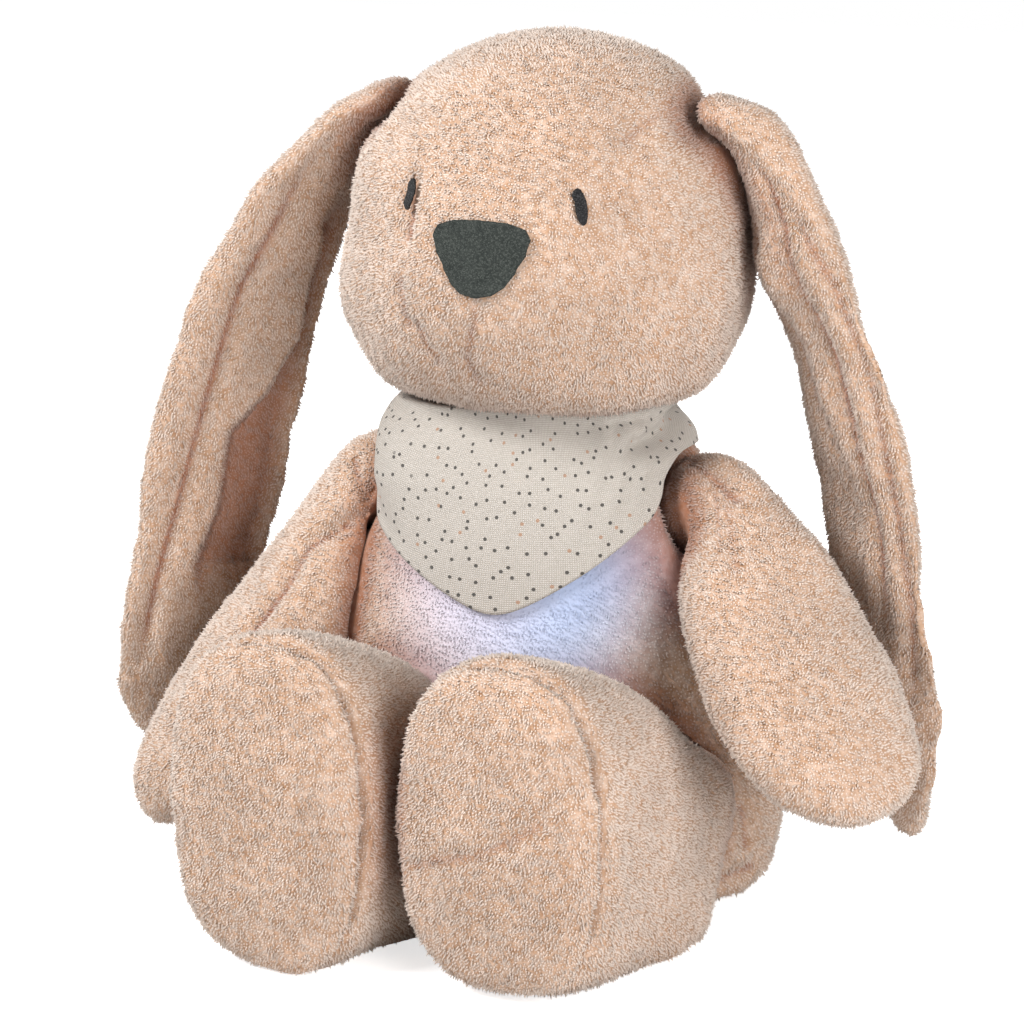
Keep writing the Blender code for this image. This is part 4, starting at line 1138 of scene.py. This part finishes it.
finished = {name: stuffed(name) for name in soft}

# %% [markdown]
# ## Bandana
# A triangle of double gauze goes round the neck: its rolled top lies under the chin, its point hangs over the
# belly and its ends lap at the back. Cloth simulation could drape it, but its hem and pleat would then fall
# anywhere. It is laid out by rule instead, as one sheet, by its turn round the neck and its drop below the
# top, so the weave and the dots can follow the flat cloth through a UV map. A pleat and three gathers lie at
# the toy's left shoulder.

# %% Where the cloth lies
neck_rows = ((0.56, 0.91, 0.94), (0.72, 0.81, 0.84), (0.86, 0.69, 0.72), (0.95, 0.54, 0.57), (1.00, 0.42, 0.46))
torso_height, torso_half_width, torso_half_depth = 0.148, 0.0735, 0.0545
neck_top = Vector(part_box("bandana")[1]).z
shoulder, shoulder_room = (0.0515, -0.004, 0.120), 0.0190
least_drop, point_drop, left_drop = 0.010, 0.0455, 0.004
cloth_gap = 0.0016
lap = radians(11)


def neck_spread(z):
    """Half width and half depth of the neck and chest at a height."""
    heights = [torso_height * row[0] for row in neck_rows]
    widths = np.interp(z, heights, [(torso_half_width * row[1]) ** 2 for row in neck_rows])
    depths = np.interp(z, heights, [(torso_half_depth * row[2]) ** 2 for row in neck_rows])
    return sqrt(widths), sqrt(depths)


def hump(value, middle, width):
    """A smooth hump, 1 high in its middle."""
    return float(np.exp(-(((value - middle) / width) ** 2)))


def ramp(value, low, high):
    """A smooth step of one number."""
    return float(smooth_step(np.float64(value), low, high))


def drop_of(turn):
    """How far the cloth hangs: to the slab's hem, with a softer point, or to where it meets a shoulder."""
    beside = sqrt((turn - radians(1)) ** 2 + radians(8) ** 2) - radians(8)
    span, power = (radians(76), 1.15) if turn > 0 else (radians(96), 1.0)
    reach = max(0.0, 1 - beside / span) ** power
    full = least_drop + point_drop * reach + left_drop * hump(turn, radians(80), radians(18))
    steps = ceil(full / 0.001)
    for step in range(1, steps + 1):
        z = neck_top - full * step / steps
        w, d = neck_spread(z)
        place = Vector(((w + cloth_gap) * sin(turn), -(d + cloth_gap) * cos(turn), z))
        balls = [Vector((side * shoulder[0], *shoulder[1:])) for side in (1, -1)]
        if min((place - ball).length for ball in balls) < shoulder_room:
            return full * (step - 1) / steps
    return full


print("the bandana's point hangs", round(1000 * drop_of(radians(1))), "mm")

# %% [markdown]
# ## How the cloth stands off the neck
# Gauze rolled round a neck stands off it most at the top and lies close at the hem. Waves, gathers and a pleat
# break that up. Each is a smooth hump or step added to the cloth's distance from the neck, so that each can be
# changed on its own.

# %% How the cloth stands off the neck
gathers = ((0.00, 0.0016, 0.085), (0.22, 0.0012, 0.070), (-0.20, 0.0014, 0.080))


def pleat_lift(turn, top):
    """The pleat that runs out to the toy's left shoulder: a groove between two ridges."""
    pleat = top - 0.0052 - 0.0050 * (radians(80) - turn) / radians(32)
    shown = ramp(turn, radians(36), radians(62)) * ramp(-turn, -radians(112), -radians(96))
    upper = shown * (0.0026 * hump(pleat, -0.0042, 0.0028) - 0.0026 * hump(pleat, 0, 0.0016))
    return upper, shown * 0.0022 * hump(pleat, 0.0044, 0.0030)


def cloth_lift(turn, share, drop):
    """How far the cloth stands off the neck at a turn, and at a share of its drop."""
    top = drop * share
    lift = 0.0018 + 0.0034 * ramp(turn, pi - 4 * lap, pi - 2 * lap)
    lift += 0.0012 * hump(top, 0, 0.0030)
    roll = 0.0170 - 0.0075 * ramp(turn, -radians(30), radians(70))
    front = sin(turn - radians(20))
    flare = 0.30 + 0.10 * front**2 + 1.1 * max(0.0, -front) ** 3
    flare += 0.25 * ramp(turn, radians(55), radians(95))
    lift += 0.0075 * hump(top, 0, roll) * flare
    lift += 0.0007 * (1 + sin(9 * turn + 3 * share)) / 2 * (1 - share)
    bulge = hump(turn, -radians(48), radians(17))
    lift += 0.0042 * bulge * sin(pi * min(1.0, share * 1.1))
    run = turn - radians(58) + 0.55 * share
    for offset, height, width in gathers:
        lift += height * hump(run, offset, width) * hump(share, 0, 0.62)
    for part in pleat_lift(turn, top):
        lift += part
    return lift


print("the cloth stands", round(1000 * cloth_lift(0.0, 0.0, 0.05), 1), "mm off the neck at the top of its front")

# %% [markdown]
# ## The sheet
# The sheet is a grid: columns go round the neck, and rows run from inside the rolled top, over the roll and
# down to the hem. The UV map measures the real lengths along both, so a dot stays round. The double gauze gets
# its thickness from a modifier at the end.

# %% The sheet
columns, rolled, rows = 420, 10, 44
roll_width = 0.010
muslin_thickness = 0.0007


def hem_drops(start, end):
    """The drop at each column. Near a shoulder it follows the least drop beside it, and it changes gently."""
    beside, blur = 4, 10
    drops = np.array([drop_of(start + (end - start) * i / columns) for i in range(columns + 1)])
    padded = np.pad(drops, beside, mode="edge")
    around = np.lib.stride_tricks.sliding_window_view(padded, 2 * beside + 1)
    window = np.hanning(2 * blur + 3)[1:-1]
    return np.convolve(np.pad(around.min(axis=1), blur, mode="edge"), window / window.sum(), "valid")


def bandana_sheet():
    """The sheet's mesh, its flat size and its flat area."""
    points, uv, faces = [], [], []
    start, end = -pi - lap, pi + lap
    drops = hem_drops(start, end)
    across = 0.0
    for i in range(columns + 1):
        turn = start + (end - start) * i / columns
        raised = 0.0026 + 0.0018 * max(0.0, sin(turn)) ** 2 - 0.0026 * max(0.0, -sin(turn)) ** 2
        run = 0.0
        for k in range(-rolled, rows + 1):
            share = max(0, k) / rows
            tuck = max(0, -k) / rolled
            z = neck_top + raised * (1 - share) - drops[i] * share
            w, d = neck_spread(min(z, neck_top))
            lift = cloth_lift(turn, share, drops[i])
            lift = lift + (0.0006 - lift) * (1 - cos(pi * tuck)) / 2
            z += 0.0014 * sin(pi * min(1.0, 1.3 * tuck)) - 0.0050 * tuck**2
            points.append(((w + lift) * sin(turn), -(d + lift) * cos(turn), z))
            if k > -rolled:
                run += sqrt(sum((a - b) ** 2 for a, b in zip(points[-1], points[-2])))
            uv.append((across, -run))
        w, d = neck_spread(shoulder[2])
        across += sqrt((w * cos(turn)) ** 2 + (d * sin(turn)) ** 2) * (end - start) / columns
    stride = rolled + rows + 1
    for i in range(columns):
        for k in range(stride - 1):
            first = i * stride + k
            faces.append((first, first + 1, first + stride + 1, first + stride))
    mesh = bpy.data.meshes.new("bandana")
    mesh.from_pydata(points, [], faces)
    layer = mesh.uv_layers.new(name="cloth")
    corners = read_values(mesh.loops, "vertex_index", 1, np.int32)[:, 0]
    layer.data.foreach_set("uv", np.array(uv, np.float32)[corners].ravel())
    write_points(mesh, relax(read_points(mesh), read_edges(mesh), 3, 0.001))
    mesh.materials.append(muslin)
    area = float(np.sum(drops[:-1] + roll_width) * across / columns)
    return mesh, (across, float(max(drops)) + roll_width), area


mesh, flat, area = bandana_sheet()
mesh = with_modifier(mesh, "SOLIDIFY", thickness=muslin_thickness, offset=-1.0)
shade_smooth(mesh)
bandana = new_object("bandana_cloth", mesh)
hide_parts("bandana")
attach(bandana, "torso")
print("bandana", [round(1000 * v) for v in flat], "mm flat,", round(area * 1e6), "mm2")

# %% [markdown]
# ## Put the pieces on their bodies
# Each stuffed piece takes the place of its plain solid and rides on the same body. The moulded pieces of the
# light unit stay as they are and get their finishes, since their plain solids already show all their detail.
# The return springs become pieces of their own, in steel.

# %% Bodies
for name, body in soft.items():
    piece = finished[name]
    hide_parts(name)
    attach(piece, body)

record_slots = {item["node"]: item["material_slot"] for item in frame["record"]["subparts"]}
for name in ("return_spring_left", "return_spring_right"):
    spring = new_object(f"{name}_coil", nodes[name].data.copy())
    spring.data.materials.clear()
    spring.data.materials.append(moulded["steel"])
    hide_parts(name)
    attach(spring, "torso")
    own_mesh(spring)
    finished[name] = spring

kept = [name for name in nodes if name not in finished and name not in face and name != "bandana"]
for name in kept:
    node = nodes[name]
    node.data.materials.clear()
    node.data.materials.append(moulded[record_slots[name]])
print(len(kept), "moulded, metal and tape pieces kept")

# %% [markdown]
# ## Light, floor and camera
# A broad lamp from the upper left, a weaker one from the right, a faint one from behind and an even white sky
# give soft studio light. The camera sees the sky and the floor as white. A curved backdrop could do that too,
# but it would show its edge from behind.

# %% Sky
sky_light = 0.29
scene = bpy.context.scene
scene.view_settings.view_transform = "Standard"
sky = bpy.data.worlds.new("studio")
scene.world = sky
sky.use_nodes = True
tree = sky.node_tree
background = tree.nodes["Background"]
background.inputs["Color"].default_value = (1, 1, 1, 1)
rays = add(tree, "ShaderNodeLightPath").outputs
seen = math(tree, "MAXIMUM", rays["Is Camera Ray"], rays["Is Glossy Ray"])
seen = math(tree, "MAXIMUM", seen, rays["Is Transmission Ray"])
strength = add(tree, "ShaderNodeMapRange", None, i0=seen, i1=0.0, i2=1.0, i3=sky_light, i4=1.0)
tree.links.new(strength.outputs[0], background.inputs["Strength"])
print("sky light", sky_light)

# %% [markdown]
# The lamps are broad, so that the shadows are soft, and all look at the middle of the toy. The floor is a
# plain square. It would come out grey under these lamps, so a light of its own lifts it to white where the
# camera sees it.

# %% Lamps and floor
lamp_target = Vector((0, 0, 0.13))
floor_half = 2
floor_light = (0.68, 0.68, 0.68, 1)


def lamp(name, place, size, power):
    """A square lamp that looks at the middle of the toy."""
    data = bpy.data.lights.new(name, "AREA")
    data.size = size
    data.energy = power
    made = bpy.data.objects.new(name, data)
    scene.collection.objects.link(made)
    made.location = place
    made.rotation_euler = (lamp_target - Vector(place)).to_track_quat("-Z", "Y").to_euler()
    return made


key = lamp("key lamp", (-0.66, -0.72, 0.94), 0.50, 16.4)
fill = lamp("fill lamp", (0.90, -0.75, 0.50), 0.60, 11.5)
back = lamp("back lamp", (0.35, 1.05, 1.00), 0.60, 6.0)

floor_mesh = bpy.data.meshes.new("floor")
square = [(x * floor_half, y * floor_half, 0) for x, y in ((-1, -1), (1, -1), (1, 1), (-1, 1))]
floor_mesh.from_pydata(square, [], [(0, 1, 2, 3)])
floor = new_object("floor", floor_mesh)
floor_paint = bpy.data.materials.new("pale floor")
floor_paint.use_nodes = True
tree = floor_paint.node_tree
matt = tree.nodes["Principled BSDF"]
set_inputs(matt, {"Base Color": (0.90, 0.90, 0.90, 1), "Roughness": 0.9, "Emission Strength": 1.0})
rays = add(tree, "ShaderNodeLightPath").outputs
seen = math(tree, "MAXIMUM", rays["Is Camera Ray"], rays["Is Glossy Ray"])
tree.links.new(mix_colour(tree, seen, (0, 0, 0, 1), floor_light), matt.inputs["Emission Color"])
floor_mesh.materials.append(floor_paint)
print("three lamps and a floor")

# %% [markdown]
# ## Camera
# The photo looks a little down on the toy, from its left. A long lens from further away keeps the near foot
# from looking too large, as in the photo.

# %% Camera
azimuth, elevation, distance = radians(20), radians(15), 1.1
look_at = Vector((-0.0103, -0.00376, 0.112))
lens = 126.8
toward_camera = Vector((sin(azimuth) * cos(elevation), -cos(azimuth) * cos(elevation), sin(elevation)))
camera = bpy.data.objects.new("camera", bpy.data.cameras.new("camera"))
scene.collection.objects.link(camera)
camera.data.lens = lens
camera.data.clip_start = 0.01
camera.location = look_at + toward_camera * distance
camera.rotation_euler = (-toward_camera).to_track_quat("-Z", "Y").to_euler()
scene.camera = camera
print("camera", distance, "m away with a lens of", lens, "mm")
